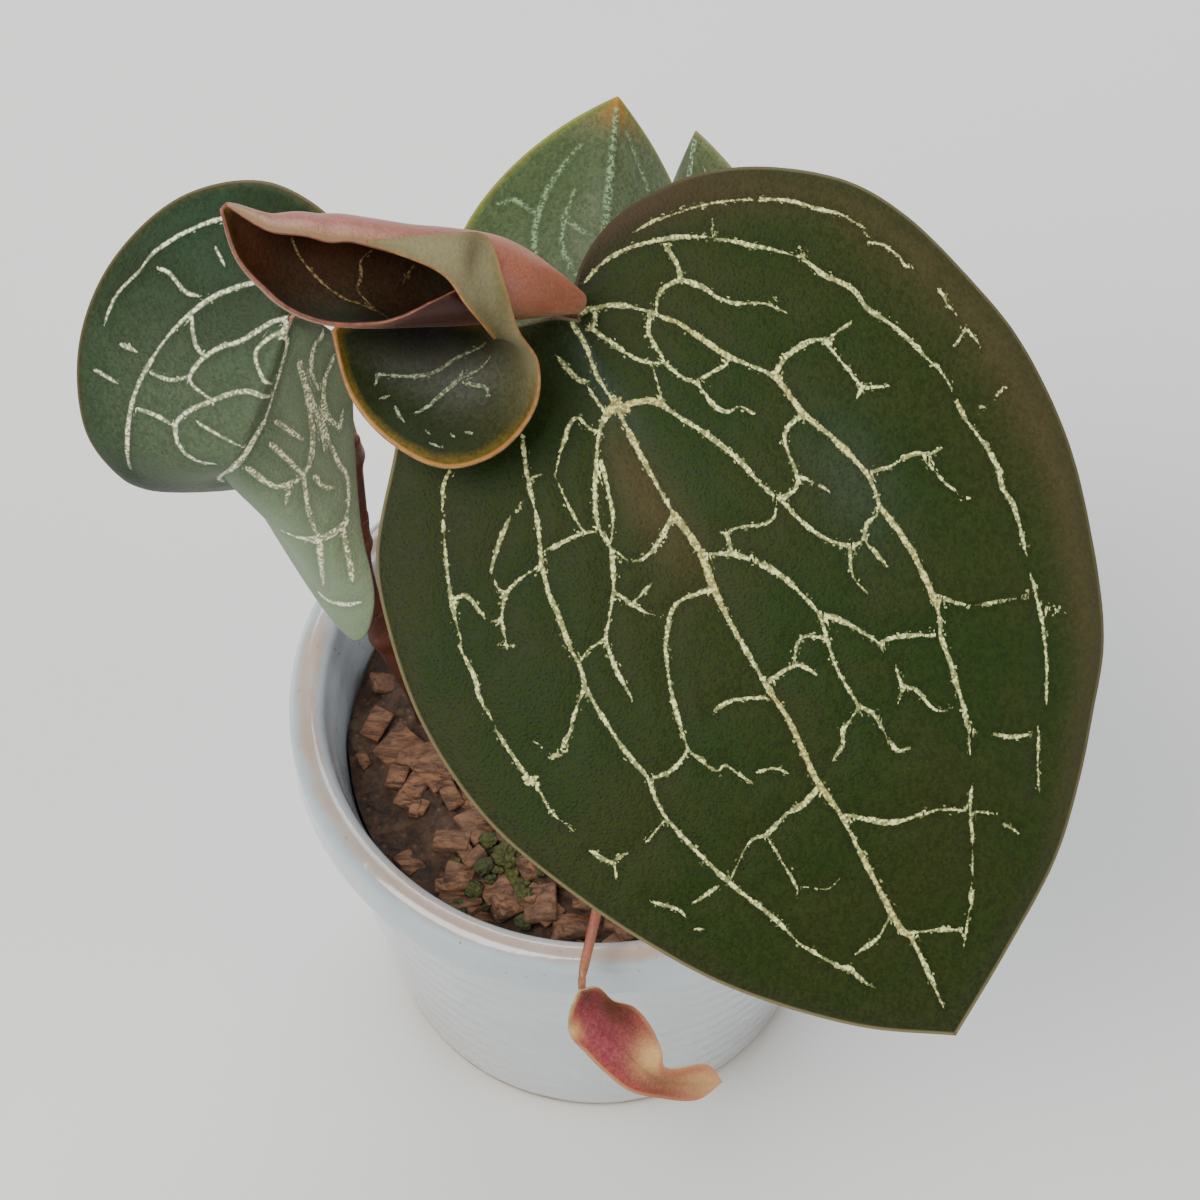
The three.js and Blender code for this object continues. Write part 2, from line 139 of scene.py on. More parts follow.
class Curve:
    """A smooth curve through given points, read at shares from 0 to 1 of its points."""

    def __init__(self, points):
        self.points = np.array(points, float)
        self.shares = np.linspace(0.0, 1.0, 201)
        steps = np.linalg.norm(np.diff(self.at(self.shares), axis=0), axis=1)
        self.lengths = np.concatenate(([0.0], np.cumsum(steps)))

    def at(self, t):
        last = len(self.points) - 1
        place = np.clip(np.asarray(t, float), 0.0, 1.0) * last
        i = np.minimum(place.astype(int), last - 1)
        w = (place - i)[..., None]
        before, after = 2 * self.points[0] - self.points[1], 2 * self.points[-1] - self.points[-2]
        spread = np.vstack((before, self.points, after))
        p0, p1, p2, p3 = (spread[i + k] for k in range(4))
        pairs = ((p0, p1), (p1, p2), (p2, p3))
        d0, d1, d2 = (np.maximum(np.sum((b - a) ** 2, -1, keepdims=True) ** 0.25, 1e-4) for a, b in pairs)
        m1 = ((p1 - p0) / d0 - (p2 - p0) / (d0 + d1) + (p2 - p1) / d1) * d1
        m2 = ((p2 - p1) / d1 - (p3 - p1) / (d1 + d2) + (p3 - p2) / d2) * d1
        cubic = 2 * (p1 - p2) + m1 + m2
        square = 3 * (p2 - p1) - 2 * m1 - m2
        return p1 + m1 * w + square * w**2 + cubic * w**3

    def tangent(self, t):
        return unit(self.at(np.minimum(t + 1e-4, 1.0)) - self.at(np.maximum(t - 1e-4, 0.0)))

    def evenly(self, share):
        """The place on the curve that lies a share of its length along it."""
        return np.interp(np.asarray(share) * self.lengths[-1], self.lengths, self.shares)


def setting(knots, place):
    """A smooth value along a short list of (place, value) settings, or the same value everywhere."""
    if isinstance(knots, (int, float)):
        return np.full(np.shape(place), float(knots))
    xs, ys = np.array(knots, float).T
    place = np.clip(place, xs[0], xs[-1])
    i = np.clip(np.searchsorted(xs, place, side="right") - 1, 0, len(xs) - 2)
    t = (place - xs[i]) / (xs[i + 1] - xs[i])
    return ys[i] + (ys[i + 1] - ys[i]) * t * t * (3 - 2 * t)


def evenly_set(values, place):
    """A smooth value through a list of values that are spread evenly over places from 0 to 1."""
    return Curve([(i, value, 0) for i, value in enumerate(values)]).at(place)[..., 1]


def bent_blade(length, left, right, spine, face, fold, curl):
    """A leaf drawn flat, as shares (along, across) of its length, then bent along its spine."""
    middle, facing = Curve(spine), Curve(face)
    edges = [Curve([(a * length, -w * length, 0) for a, w in left])]
    edges.append(Curve([(a * length, w * length, 0) for a, w in right]))

    def surface(u, v):
        half = 2 * u - 1
        edge = np.where((half < 0)[..., None], edges[0].at(v), edges[1].at(v))
        rib = length * v**1.1
        along = rib + (edge[..., 0] - rib) * np.abs(half)
        across = edge[..., 1] * np.abs(half)
        s = along / length
        t = np.clip(s, 0.0, 1.0)
        spot = middle.evenly(t)
        tangent = middle.tangent(spot)
        rightward = unit(np.cross(tangent, facing.at(t)))
        normal = unit(np.cross(rightward, tangent))
        on_left = across < 0
        slope = np.radians(np.where(on_left, setting(fold[0], s), setting(fold[1], s)))
        turn = np.radians(np.where(on_left, setting(curl[0], s), setting(curl[1], s))) / length
        end = slope + turn * np.abs(across)
        outward = np.sign(across) * (np.sin(end) - np.sin(slope)) / turn
        rise = (np.cos(slope) - np.cos(end)) / turn
        forward = (s - t) * length
        moves = zip((tangent, rightward, normal), (forward, outward, rise))
        return middle.at(spot) + sum(way * far[..., None] for way, far in moves)

    return surface


def railed_blade(left, midrib, right, crown):
    """A leaf hung on three rails, with each half lifted between its rails."""
    rails = [Curve(left), Curve(right)]
    middle = Curve(midrib)

    def surface(u, v):
        half = (2 * u - 1)[..., None]
        reach = np.abs(half)
        origin = middle.at(v)
        outward = np.where(half < 0, rails[0].at(v), rails[1].at(v)) - origin
        up = unit(np.cross(outward, middle.tangent(v))) * np.where(half < 0, -1, 1)
        lift = np.where(half < 0, *crown) * reach * (1 - reach)
        return origin + outward * reach + up * lift * np.linalg.norm(outward, axis=-1, keepdims=True)

    return surface


def strip_blade(inner, outer, sag):
    """A strip between two edges, hollowed halfway across."""
    edges = Curve(inner), Curve(outer)

    def flat(u, v):
        return edges[0].at(v) * (1 - u)[..., None] + edges[1].at(v) * u[..., None]

    def surface(u, v):
        middle = np.full(np.shape(u), 0.5)
        row = np.where(v > 0.9999, 0.97, v)
        crosswise = flat(middle + NEAR, row) - flat(middle - NEAR, row)
        lengthwise = flat(middle, np.minimum(row + NEAR, 1)) - flat(middle, np.maximum(row - NEAR, 0))
        facing = unit(np.cross(crosswise, lengthwise))
        return flat(u, v) + facing * (4 * u * (1 - u) * setting(sag, v))[..., None]

    return surface


def rolled_blade(axis, radius, upper, lower, front):
    """A sheet rolled round an axis: from its upper edge over the top and the back to its lower edge.

    The two edges are angles in degrees, and front is the direction that counts as 0.
    """
    centre = Curve(axis)

    def surface(u, v):
        spot = centre.evenly(v)
        tangent = centre.tangent(spot)
        top = unit(np.cross(tangent, np.array(front)))
        ahead = unit(np.cross(top, tangent))
        angle = np.radians(evenly_set(upper, v) * (1 - u) + evenly_set(lower, v) * u)[..., None]
        around = ahead * np.cos(angle) + top * np.sin(angle)
        return centre.at(spot) + around * evenly_set(radius, v)[..., None]

    return surface


# ---- Leaf shapes ----
# An outline is (along, across) as shares of the leaf's length. Spines, rails and axes are places in the
# plant, in millimetres.

ROUND_OUTLINE = (
    (0, 0), (-0.06, 0.035), (-0.09, 0.1), (-0.085, 0.2), (-0.03, 0.32), (0.1, 0.415), (0.28, 0.44),
    (0.48, 0.4), (0.68, 0.3), (0.85, 0.165), (0.95, 0.06), (1, 0),
)
LARGE_NEAR = (
    (0, 0), (-0.015, 0.02), (-0.03, 0.07), (-0.042, 0.13), (-0.03, 0.19), (0, 0.24), (0.05, 0.285),
    (0.14, 0.355), (0.22, 0.382), (0.35, 0.4), (0.49, 0.384), (0.62, 0.332), (0.72, 0.278), (0.81, 0.217),
    (0.93, 0.1), (1, 0),
)
LARGE_FAR = (
    (0, 0), (-0.03, 0.01), (-0.061, 0.039), (-0.087, 0.092), (-0.094, 0.152), (-0.089, 0.213),
    (-0.06, 0.288), (0.003, 0.372), (0.07, 0.415), (0.176, 0.45), (0.27, 0.47), (0.4, 0.468), (0.51, 0.443),
    (0.65, 0.39), (0.73, 0.33), (0.79, 0.28), (0.86, 0.21), (0.93, 0.108), (1, 0),
)

LARGE_LEAF = bent_blade(
    length=62.5,
    left=LARGE_FAR,
    right=LARGE_NEAR,
    spine=((-1.5, 2, 96), (8.2, -14.7, 88.2), (18, -30.4, 78.5), (27.4, -43.6, 65.8)),
    face=((-0.05, -0.5, 0.85), (0, -0.53, 0.85), (0.05, -0.56, 0.8)),
    fold=(4, 4),
    curl=(((0, -40), (1, -60)), -35),
)
BACK_LEAF = bent_blade(
    length=29,
    left=ROUND_OUTLINE,
    right=ROUND_OUTLINE,
    spine=((-0.5, 8.7, 86), (0.2, 15, 86.8), (1, 22.2, 88), (1.6, 29.2, 89.4)),
    face=((-0.3, -0.5, 0.85), (-0.3, -0.4, 0.9), (-0.2, -0.3, 1)),
    fold=(8, -52),
    curl=(-40, -60),
)
FAR_LEAF = bent_blade(
    length=28,
    left=ROUND_OUTLINE,
    right=ROUND_OUTLINE,
    spine=((4.4, 16, 67.5), (5.9, 23, 70.5), (7.3, 30, 73.6), (8.4, 36.9, 75.4)),
    face=((0.4, -0.3, 0.9), (0.4, -0.3, 0.9), (0.3, -0.2, 1)),
    fold=(-85, 5),
    curl=(-60, -40),
)
LEFT_LEAF = railed_blade(
    midrib=(
        (-24.2, 6.9, 89.6), (-24.6, 6, 88.9), (-25.2, 4.9, 87.8), (-25.9, 3.6, 86.4), (-26.7, 2.3, 84.6),
        (-27.8, 1, 82.4), (-28.9, 0.1, 79.5), (-30.2, 2.6, 73.9), (-28.4, 6.8, 66.8), (-31.1, 15.4, 54.9),
    ),
    right=(
        (-24.2, 6.9, 89.6), (-19.9, 12.9, 91.6), (-25.5, 17.3, 93.2), (-32.7, 17.5, 91.5),
        (-38.7, 13.9, 87.5), (-41.4, 8.9, 83.2), (-41.1, 4, 78.4), (-38.6, 2.8, 73.2),
        (-35.6, 8.6, 63.6), (-31.1, 15.4, 54.9),
    ),
    left=(
        (-24.2, 6.9, 89.6), (-22.2, 8.9, 86.2), (-20.4, 9.7, 82), (-19.9, 9.4, 78.8), (-20, 8, 75.6),
        (-19.9, 5.3, 72.1), (-19.5, 1.5, 67.4), (-18.5, -2.3, 62.6), (-20.5, -2, 55.8), (-31.1, 15.4, 54.9),
    ),
    crown=(0.05, 0.22),
)
WITHERED_LEAF = railed_blade(
    midrib=(
        (-1.5, -30.6, 47.3), (-0.9, -30.9, 44.9), (0.2, -31.7, 43.4), (1.3, -32.6, 42.2),
        (2.5, -33.5, 41.2), (3.7, -34.3, 40.2), (5.2, -35, 39.4), (8.4, -35.2, 38.8), (10.4, -34.8, 38.6),
    ),
    left=(
        (-1.5, -30.6, 47.3), (0, -29.9, 46.4), (1.3, -30.5, 45.2), (2.9, -30.8, 44.7), (4.3, -31.8, 43.4),
        (5.3, -33.3, 41.6), (5.6, -34.4, 40.6), (9.2, -33.9, 40), (10.4, -34.8, 38.6),
    ),
    right=(
        (-1.5, -30.6, 47.3), (-2.3, -31.8, 45.6), (-2.3, -33.1, 44.1), (-1, -34.1, 42.6), (0.8, -35.3, 41),
        (2.7, -36.2, 39.7), (4.7, -36.4, 39), (8.3, -36.3, 38.3), (10.4, -34.8, 38.6),
    ),
    crown=(0.1, 0.1),
)
YOUNG_ROLL = rolled_blade(
    axis=(
        (-1.6, 1.3, 99.1), (-4.3, 0.2, 102), (-7.9, -1.4, 105.7), (-11.5, -2.7, 107.8),
        (-15.3, -3.8, 109.5), (-20, -4.7, 111.6), (-22, -4.8, 113), (-24.1, -4.6, 114.5),
        (-26.5, -3.3, 116.9),
    ),
    radius=(0.7, 1.6, 2.4, 3, 3.3, 3.45, 3.7, 3.8, 3.2, 1.9, 0.3),
    upper=(-75, -73, -70, -48, -8, 10, 21, 30, 33, 32, 30),
    lower=(275, 277, 280, 303, 346, 322, 283, 271, 270, 269, 268),
    front=(0, -0.53, 0.848),
)
YOUNG_LOBE = strip_blade(
    inner=(
        (-16.4, -4.5, 114.2), (-11.1, -5.4, 111.7), (-9.5, -6.5, 109.6), (-8.3, -6.4, 106.8),
        (-7.7, -5.6, 104.2), (-8.5, -2.3, 101.7), (-10.4, -0.4, 99.4), (-12.7, 0.9, 98.8),
        (-14.9, 1.1, 98.7), (-17.2, 0.8, 98.6), (-19.1, 0.2, 98.6), (-20, -0.9, 98.7),
    ),
    outer=(
        (-16.4, -4.4, 114.4), (-11.4, -2.2, 112.2), (-8.1, -1.2, 110.7), (-6.8, -4, 109.2),
        (-5.8, -5.7, 105.3), (-4.4, -5.9, 101.2), (-4.7, -7.7, 98.2), (-7.3, -10.1, 96),
        (-11.3, -10.9, 95), (-15.4, -9, 95.5), (-18.4, -5.7, 96.6), (-20, -0.9, 98.7),
    ),
    sag=((0, 0), (0.4, 0.1), (0.6, 1.6), (0.8, 1.8), (1, 0)),
)

# ---- Stems and stalks ----
# A stem is a path, with the places of its rings as shares of its length. A stalk is a path with settings of
# (share of the length, radius).

STEM_MAIN = ((4, 0, 27), (3.9, 0.1, 38), (3, 1, 52), (1.2, 2.6, 68), (-0.6, 4.4, 82), (-2.5, 6.4, 92.8))
STEM_MAIN_RINGS = (0.34, 0.5, 0.64, 0.79, 0.88, 0.97)
STEM_SIDE = (
    (-15, 2, 27), (-15.6, 2.4, 38), (-19, 4.6, 47), (-20.3, 5.9, 54), (-20.5, 7.2, 62), (-20.7, 8.7, 70),
)
STEM_SIDE_RINGS = (0.45, 0.72, 0.96)

LARGE_STALK = (
    (
        (-0.5, 4.3, 81.5), (-1.3, 2, 86.5), (-1.9, 1.9, 92),
        (-1.6, 2, 94.9), (0.2, -0.7, 93.7), (2.5, -4.7, 91.6),
    ),
    ((0, 1), (0.6, 0.85), (1, 0.5)),
)
BACK_STALK = (
    ((-0.3, 4.1, 79), (-0.2, 6.6, 81.5), (-0.5, 8.4, 85), (-0.4, 10, 86), (0, 13, 86.2)),
    ((0, 0.95), (0.6, 0.8), (1, 0.45)),
)
FAR_STALK = (
    ((2.1, 1.8, 60), (3, 6, 62.5), (3.9, 12, 66), (4.4, 16, 67.1), (5, 19, 68.2)),
    ((0, 0.9), (0.6, 0.75), (1, 0.45)),
)
LEFT_STALK = (
    (
        (-20.7, 8.8, 70.2), (-21.8, 10.6, 76), (-23.2, 10.6, 83),
        (-24, 8.4, 87.6), (-24.5, 6.9, 88), (-25.3, 5.3, 86.1),
    ),
    ((0, 0.9), (0.6, 0.8), (1, 0.45)),
)
WITHERED_STALK = (
    (
        (3.1, 0.9, 49.6), (2.4, -6, 50), (1.2, -15, 48.6),
        (-0.1, -23.3, 47.4), (-1.3, -29.6, 47.5), (-1.3, -30.4, 46),
    ),
    ((0, 0.75), (0.5, 0.5), (0.9, 0.42), (1, 0.3)),
)
YOUNG_STALK = (
    ((-2.5, 6.4, 92.4), (-3.2, 4.8, 95.8), (-3.6, 2.8, 98), (-4, 1.2, 100.4), (-4.7, 0, 102.2)),
    ((0, 0.95), (1, 0.9)),
)

# ---- Veins ----
# Each vein is (width in mm, places). A place is (across, along) in thousandths: across runs from -1000 at the
# left margin to 1000 at the right one, and along from 0 at the leaf's base to 1000 at its tip.

LARGE_VEINS = (
    (0.32, (735, 39), (268, 79), (201, 116), (88, 159)),
    (0.4, (88, 159), (39, 314)),
    (0.48, (39, 314), (6, 358), (30, 419), (19, 543)),
    (0.44, (19, 543), (8, 591), (19, 662), (3, 707), (3, 758)),
    (0.4, (3, 758), (1, 858), (-26, 872), (-39, 962)),
    (0.5, (61, 147), (-75, 166), (-226, 236), (-237, 261)),
    (0.32, (-237, 261), (-259, 333), (-261, 418), (-275, 439)),
    (0.29, (-275, 439), (-281, 465), (-299, 493), (-317, 509), (-344, 526), (-384, 537), (-408, 532),
     (-453, 536)),
    (0.19, (-348, 528), (-313, 549), (-321, 567)),
    (0.18, (-384, 537), (-402, 572)),
    (0.32, (-646, 66), (-582, 154), (-533, 246)),
    (0.42, (-533, 246), (-524, 269), (-482, 330), (-486, 384)),
    (0.4, (-486, 384), (-464, 425), (-477, 466), (-486, 509), (-464, 534)),
    (0.4, (-464, 534), (-475, 582), (-475, 615), (-471, 631), (-455, 646)),
    (0.34, (-455, 646), (-459, 687), (-464, 713)),
    (0.19, (-462, 707), (-457, 732)),
    (0.24, (-453, 704), (-466, 713), (-491, 721)),
    (0.24, (-584, 113), (-499, 102), (-406, 71)),
    (0.29, (-433, 78), (-337, 178), (-355, 224), (-379, 246)),
    (0.24, (-379, 246), (-364, 284), (-370, 300), (-341, 329), (-344, 345), (-377, 360), (-379, 375)),
    (0.21, (-531, 219), (-455, 220), (-388, 245)),
    (0.24, (-370, 299), (-462, 337)),
    (0.19, (-355, 224), (-248, 245)),
    (0.29, (557, 140), (370, 155), (313, 147)),
    (0.18, (293, 160), (208, 186)),
    (0.48, (90, 150), (239, 207)),
    (0.24, (284, 231), (326, 231), (355, 225), (395, 234), (439, 284), (473, 333)),
    (0.22, (473, 333), (422, 387), (402, 398)),
    (0.32, (199, 194), (259, 225), (321, 310), (348, 358), (353, 383), (326, 410)),
    (0.19, (279, 279), (288, 353), (321, 396)),
    (0.27, (326, 410), (339, 447), (406, 512)),
    (0.24, (406, 512), (451, 524), (504, 543)),
    (0.22, (408, 513), (410, 542), (399, 572)),
    (0.21, (328, 404), (288, 413)),
    (0.21, (341, 452), (268, 468), (244, 469)),
    (0.18, (290, 459), (226, 433)),
    (0.27, (591, 297), (537, 434)),
    (0.35, (542, 429), (535, 446), (517, 484), (511, 533), (502, 547)),
    (0.34, (511, 534), (504, 547), (511, 564)),
    (0.27, (511, 564), (484, 627), (473, 644), (493, 664), (506, 684)),
    (0.27, (506, 684), (504, 743), (475, 806), (482, 841)),
    (0.24, (482, 841), (433, 878), (395, 882), (426, 898), (428, 909)),
    (0.27, (542, 444), (615, 465), (642, 477), (673, 507), (684, 537)),
    (0.22, (642, 477), (662, 475), (671, 468)),
    (0.16, (671, 507), (700, 512)),
    (0.16, (702, 539), (666, 535)),
    (0.26, (506, 425), (397, 397), (355, 390)),
    (0.13, (553, 349), (522, 340)),
    (0.24, (633, 410), (651, 426), (680, 459)),
    (0.16, (600, 392), (604, 399)),
    (0.24, (824, 383), (838, 402), (829, 419)),
    (0.27, (820, 430), (802, 462), (804, 537)),
    (0.3, (813, 542), (800, 566), (809, 577), (800, 593)),
    (0.24, (804, 602), (789, 648)),
    (0.36, (798, 640), (766, 637)),
    (0.22, (789, 648), (802, 667), (795, 673)),
    (0.12, (791, 676), (789, 682)),
    (0.22, (793, 494), (755, 489), (722, 508)),
    (0.24, (513, 564), (595, 597)),
    (0.24, (608, 603), (669, 620)),
    (0.36, (689, 622), (648, 618)),
    (0.11, (715, 611), (697, 615)),
    (0.27, (57, 321), (201, 394), (237, 407), (264, 412)),
    (0.34, (46, 418), (106, 432), (152, 444), (192, 462), (248, 508)),
    (0.26, (248, 508), (281, 553), (317, 618)),
    (0.24, (319, 620), (377, 635), (435, 643), (473, 644)),
    (0.24, (319, 620), (277, 642), (244, 637), (204, 657)),
    (0.1, (161, 646), (112, 644), (90, 650)),
    (0.18, (517, 684), (617, 700)),
    (0.24, (798, 701), (789, 709), (771, 712)),
    (0.21, (771, 712), (818, 727)),
    (0.21, (771, 712), (713, 707)),
    (0.19, (553, 756), (682, 766)),
    (0.22, (793, 756), (749, 770), (755, 776)),
    (0.16, (769, 793), (755, 795)),
    (0.36, (34, 674), (99, 689), (157, 695)),
    (0.26, (157, 695), (266, 714), (317, 716), (468, 747)),
    (0.19, (266, 715), (301, 779), (326, 786)),
    (0.1, (273, 779), (195, 788), (135, 781)),
    (0.24, (34, 843), (126, 859), (297, 870)),
    (0.3, (43, 557), (141, 566), (190, 577)),
    (0.32, (-6, 710), (-119, 744), (-172, 752), (-250, 758), (-232, 758), (-306, 764), (-531, 803)),
    (0.13, (-591, 824), (-666, 841)),
    (0.22, (-21, 867), (-328, 897)),
    (0.29, (6, 358), (-86, 410), (-119, 436), (-159, 482)),
    (0.34, (-126, 437), (-166, 483), (-195, 542)),
    (0.34, (-195, 542), (-221, 557), (-293, 607)),
    (0.29, (-293, 606), (-333, 613), (-451, 644)),
    (0.21, (-293, 606), (-290, 615)),
    (0.26, (-192, 541), (-164, 591), (-172, 633)),
    (0.21, (-177, 563), (-130, 539), (-101, 537), (-75, 547)),
    (0.24, (-1, 532), (-79, 551), (-110, 574)),
    (0.27, (-172, 633), (-212, 656)),
    (0.19, (-201, 652), (-210, 672)),
    (0.21, (-215, 681), (-224, 691), (-264, 697)),
    (0.21, (-168, 634), (-117, 638)),
    (0.29, (-112, 637), (-95, 646)),
    (0.16, (-92, 651), (-48, 654)),
    (0.26, (-81, 407), (-101, 390), (-208, 436), (-239, 442), (-264, 436)),
    (0.14, (-103, 392), (-90, 380)),
    (0.27, (-457, 427), (-419, 418), (-388, 416), (-370, 425), (-346, 449), (-315, 451), (-277, 440)),
    (0.27, (-346, 449), (-364, 461)),
    (0.19, (-377, 473), (-386, 484)),
    (0.29, (-493, 507), (-539, 521), (-584, 528)),
    (0.37, (-584, 528), (-620, 538), (-642, 547)),
    (0.24, (-642, 547), (-675, 552)),
    (0.21, (-624, 547), (-635, 568), (-671, 588)),
    (0.29, (-664, 587), (-680, 591)),
    (0.29, (-486, 618), (-522, 633)),
    (0.19, (-522, 633), (-575, 648), (-753, 676)),
    (0.24, (-306, 645), (-301, 652), (-281, 660)),
    (0.22, (-306, 636), (-304, 646)),
    (0.19, (-310, 654), (-337, 664), (-364, 683), (-395, 692), (-453, 695)),
    (0.18, (-880, 199), (-889, 224), (-887, 247), (-907, 326)),
    (0.21, (-909, 336), (-915, 358), (-909, 373)),
    (0.24, (-909, 373), (-918, 393)),
    (0.16, (-915, 395), (-913, 418)),
    (0.22, (-893, 427), (-907, 437), (-909, 453)),
    (0.11, (-902, 458), (-909, 464)),
    (0.24, (-846, 108), (-829, 168)),
    (0.32, (-829, 168), (-795, 299)),
    (0.18, (-798, 298), (-840, 297)),
    (0.27, (-791, 306), (-784, 335), (-780, 375)),
    (0.34, (-780, 375), (-764, 396), (-775, 427), (-760, 446)),
    (0.21, (-784, 374), (-800, 372)),
    (0.29, (-760, 446), (-778, 476), (-786, 513)),
    (0.37, (-791, 507), (-789, 516)),
    (0.24, (-789, 516), (-782, 535)),
    (0.4, (-773, 542), (-766, 557)),
    (0.29, (-766, 558), (-775, 572), (-780, 593), (-780, 576), (-778, 597)),
    (0.34, (-775, 596), (-769, 604), (-780, 617), (-778, 624)),
    (0.26, (-778, 624), (-771, 652)),
    (0.24, (-771, 666), (-775, 691)),
    (0.19, (-775, 691), (-762, 725)),
    (0.24, (-762, 725), (-760, 737)),
    (0.11, (-789, 685), (-860, 696)),
    (0.34, (-773, 245), (-702, 263), (-666, 265)),
    (0.34, (-666, 265), (-626, 237), (-555, 230)),
    (0.29, (-666, 267), (-651, 291), (-622, 318), (-622, 331), (-644, 357)),
    (0.21, (-644, 358), (-664, 363)),
    (0.21, (-644, 358), (-640, 376)),
    (0.34, (-493, 383), (-537, 387), (-611, 406), (-544, 387), (-573, 394), (-608, 405), (-642, 422)),
    (0.21, (-644, 423), (-709, 438)),
    (0.26, (-631, 419), (-613, 469)),
    (0.19, (-613, 469), (-669, 487)),
    (0.21, (-613, 469), (-591, 468)),
    (0.26, (-920, 487), (-918, 492)),
    (0.16, (-911, 495), (-911, 503)),
    (0.24, (-860, 516), (-907, 517)),
    (0.21, (-907, 517), (-907, 534)),
    (0.26, (-869, 564), (-893, 565)),
    (0.16, (-818, 560), (-824, 562)),
    (0.21, (-551, 732), (-617, 744), (-702, 754)),
    (0.16, (-735, 754), (-746, 790)),
    (0.24, (-459, 723), (-455, 732)),
    (0.24, (-448, 765), (-437, 779), (-428, 820)),
    (0.16, (-422, 829), (-413, 851)),
    (0.27, (-402, 863), (-402, 882)),
    (0.19, (-384, 882), (-355, 917)),
    (0.1, (-744, 784), (-758, 812)),
)

LEFT_VEINS = (
    (0.31, (805, 294), (816, 339), (833, 371), (848, 399), (842, 426)),
    (0.22, (842, 426), (877, 472), (875, 509)),
    (0.26, (767, 401), (725, 394), (576, 387), (524, 374)),
    (0.17, (666, 314), (576, 309)),
    (0.36, (420, 259), (444, 312), (480, 372), (563, 509)),
    (0.32, (563, 509), (662, 633), (693, 668), (763, 725)),
    (0.29, (482, 407), (387, 436), (326, 441)),
    (0.34, (139, 110), (210, 341), (282, 401), (324, 442), (348, 481), (348, 499), (205, 514)),
    (0.24, (350, 496), (433, 521), (552, 531)),
    (0.36, (205, 514), (32, 422), (-100, 411)),
    (0.34, (205, 514), (365, 603), (348, 633)),
    (0.27, (348, 633), (297, 653), (205, 668), (119, 669)),
    (0.27, (587, 598), (482, 596), (365, 603)),
    (0.22, (240, 578), (-8, 601)),
    (0.34, (737, 518), (664, 514)),
    (0.26, (860, 573), (736, 574)),
    (0.29, (-6, 37), (117, 319), (41, 351), (-36, 362)),
    (0.36, (139, 110), (-100, 167), (-100, 235), (-100, 508)),
    (0.53, (-100, 508), (-28, 644), (78, 803)),
    (0.6, (-315, 280), (-570, 518), (-574, 568), (-517, 616)),
    (0.36, (-517, 616), (-552, 659), (-634, 721)),
    (0.45, (-782, 164), (-497, 224), (-466, 309), (-568, 382)),
    (0.51, (-742, 275), (-635, 357), (-650, 421), (-713, 466), (-841, 492)),
    (0.39, (-841, 492), (-869, 452)),
    (0.39, (-635, 421), (-664, 479), (-818, 566), (-903, 591), (-904, 628), (-844, 669)),
    (0.63, (-860, 668), (-758, 696), (-616, 733), (-398, 785)),
    (0.39, (-205, 497), (-476, 534)),
    (0.42, (-218, 568), (-515, 613)),
    (0.45, (-96, 656), (-296, 666), (-423, 639), (-517, 616)),
    (0.39, (-409, 646), (-411, 688)),
    (0.42, (-609, 608), (-692, 619), (-784, 613)),
    (0.42, (-644, 731), (-666, 845)),
    (0.45, (-839, 679), (-855, 766)),
    (0.54, (-701, 896), (-765, 855), (-906, 801)),
    (0.36, (-351, 316), (-639, 494), (-690, 548)),
)

BACK_VEINS = (
    (0.5, (0, 20), (8, 441), (-18, 947)),
    (0.44, (-200, 60), (-400, 330), (-444, 591), (-454, 702), (-429, 792)),
    (0.36, (-110, 40), (-238, 386), (-263, 476), (-238, 642)),
    (0.34, (-253, 556), (-68, 441)),
    (0.36, (-794, 652), (-694, 654), (-479, 602)),
    (0.4, (200, 60), (420, 330), (440, 640), (330, 860)),
)
FAR_VEINS = (
    (0.36, (0, 20), (0, 960)),
    (0.29, (200, 60), (420, 330), (440, 640), (300, 880)),
    (0.22, (0, 500), (200, 560), (430, 600)),
    (0.22, (0, 740), (190, 780), (370, 780)),
)
ROLL_VEINS = (
    (0.22, (18, 779), (395, 657), (471, 615), (500, 560), (669, 540)),
    (0.18, (-70, 570), (46, 589), (178, 585), (339, 593), (430, 570), (500, 556)),
    (0.14, (-50, 453), (110, 481)),
)
LOBE_VEINS = (
    (0.16, (22, 834), (-138, 822), (-182, 790)),
    (0.22, (-182, 790), (-214, 745), (-255, 695), (-335, 655), (-419, 599), (-467, 543)),
    (0.22, (275, 754), (42, 699), (-98, 655), (-190, 637)),
    (0.26, (-26, 639), (114, 609), (238, 611)),
    (0.14, (-98, 655), (-150, 600), (-250, 560)),
    (0.32, (327, 794), (400, 794), (467, 786)),
    (0.2, (263, 824), (178, 810)),
    (0.22, (535, 745), (548, 742)),
    (0.22, (571, 701), (584, 699)),
    (0.22, (587, 673), (600, 671)),
    (0.18, (699, 741), (731, 731)),
)


# ---- Leaf meshes ----


# In millimetres: how far off a vein still counts, the step between its spots, how far the margin's taper
# reaches inwards, and how far from a vein the skin swells up.
VEIN_REACH = 2.5
VEIN_STEP = 0.08
MARGIN_TAPER = 1.6
SWELL_REACH = 1.8


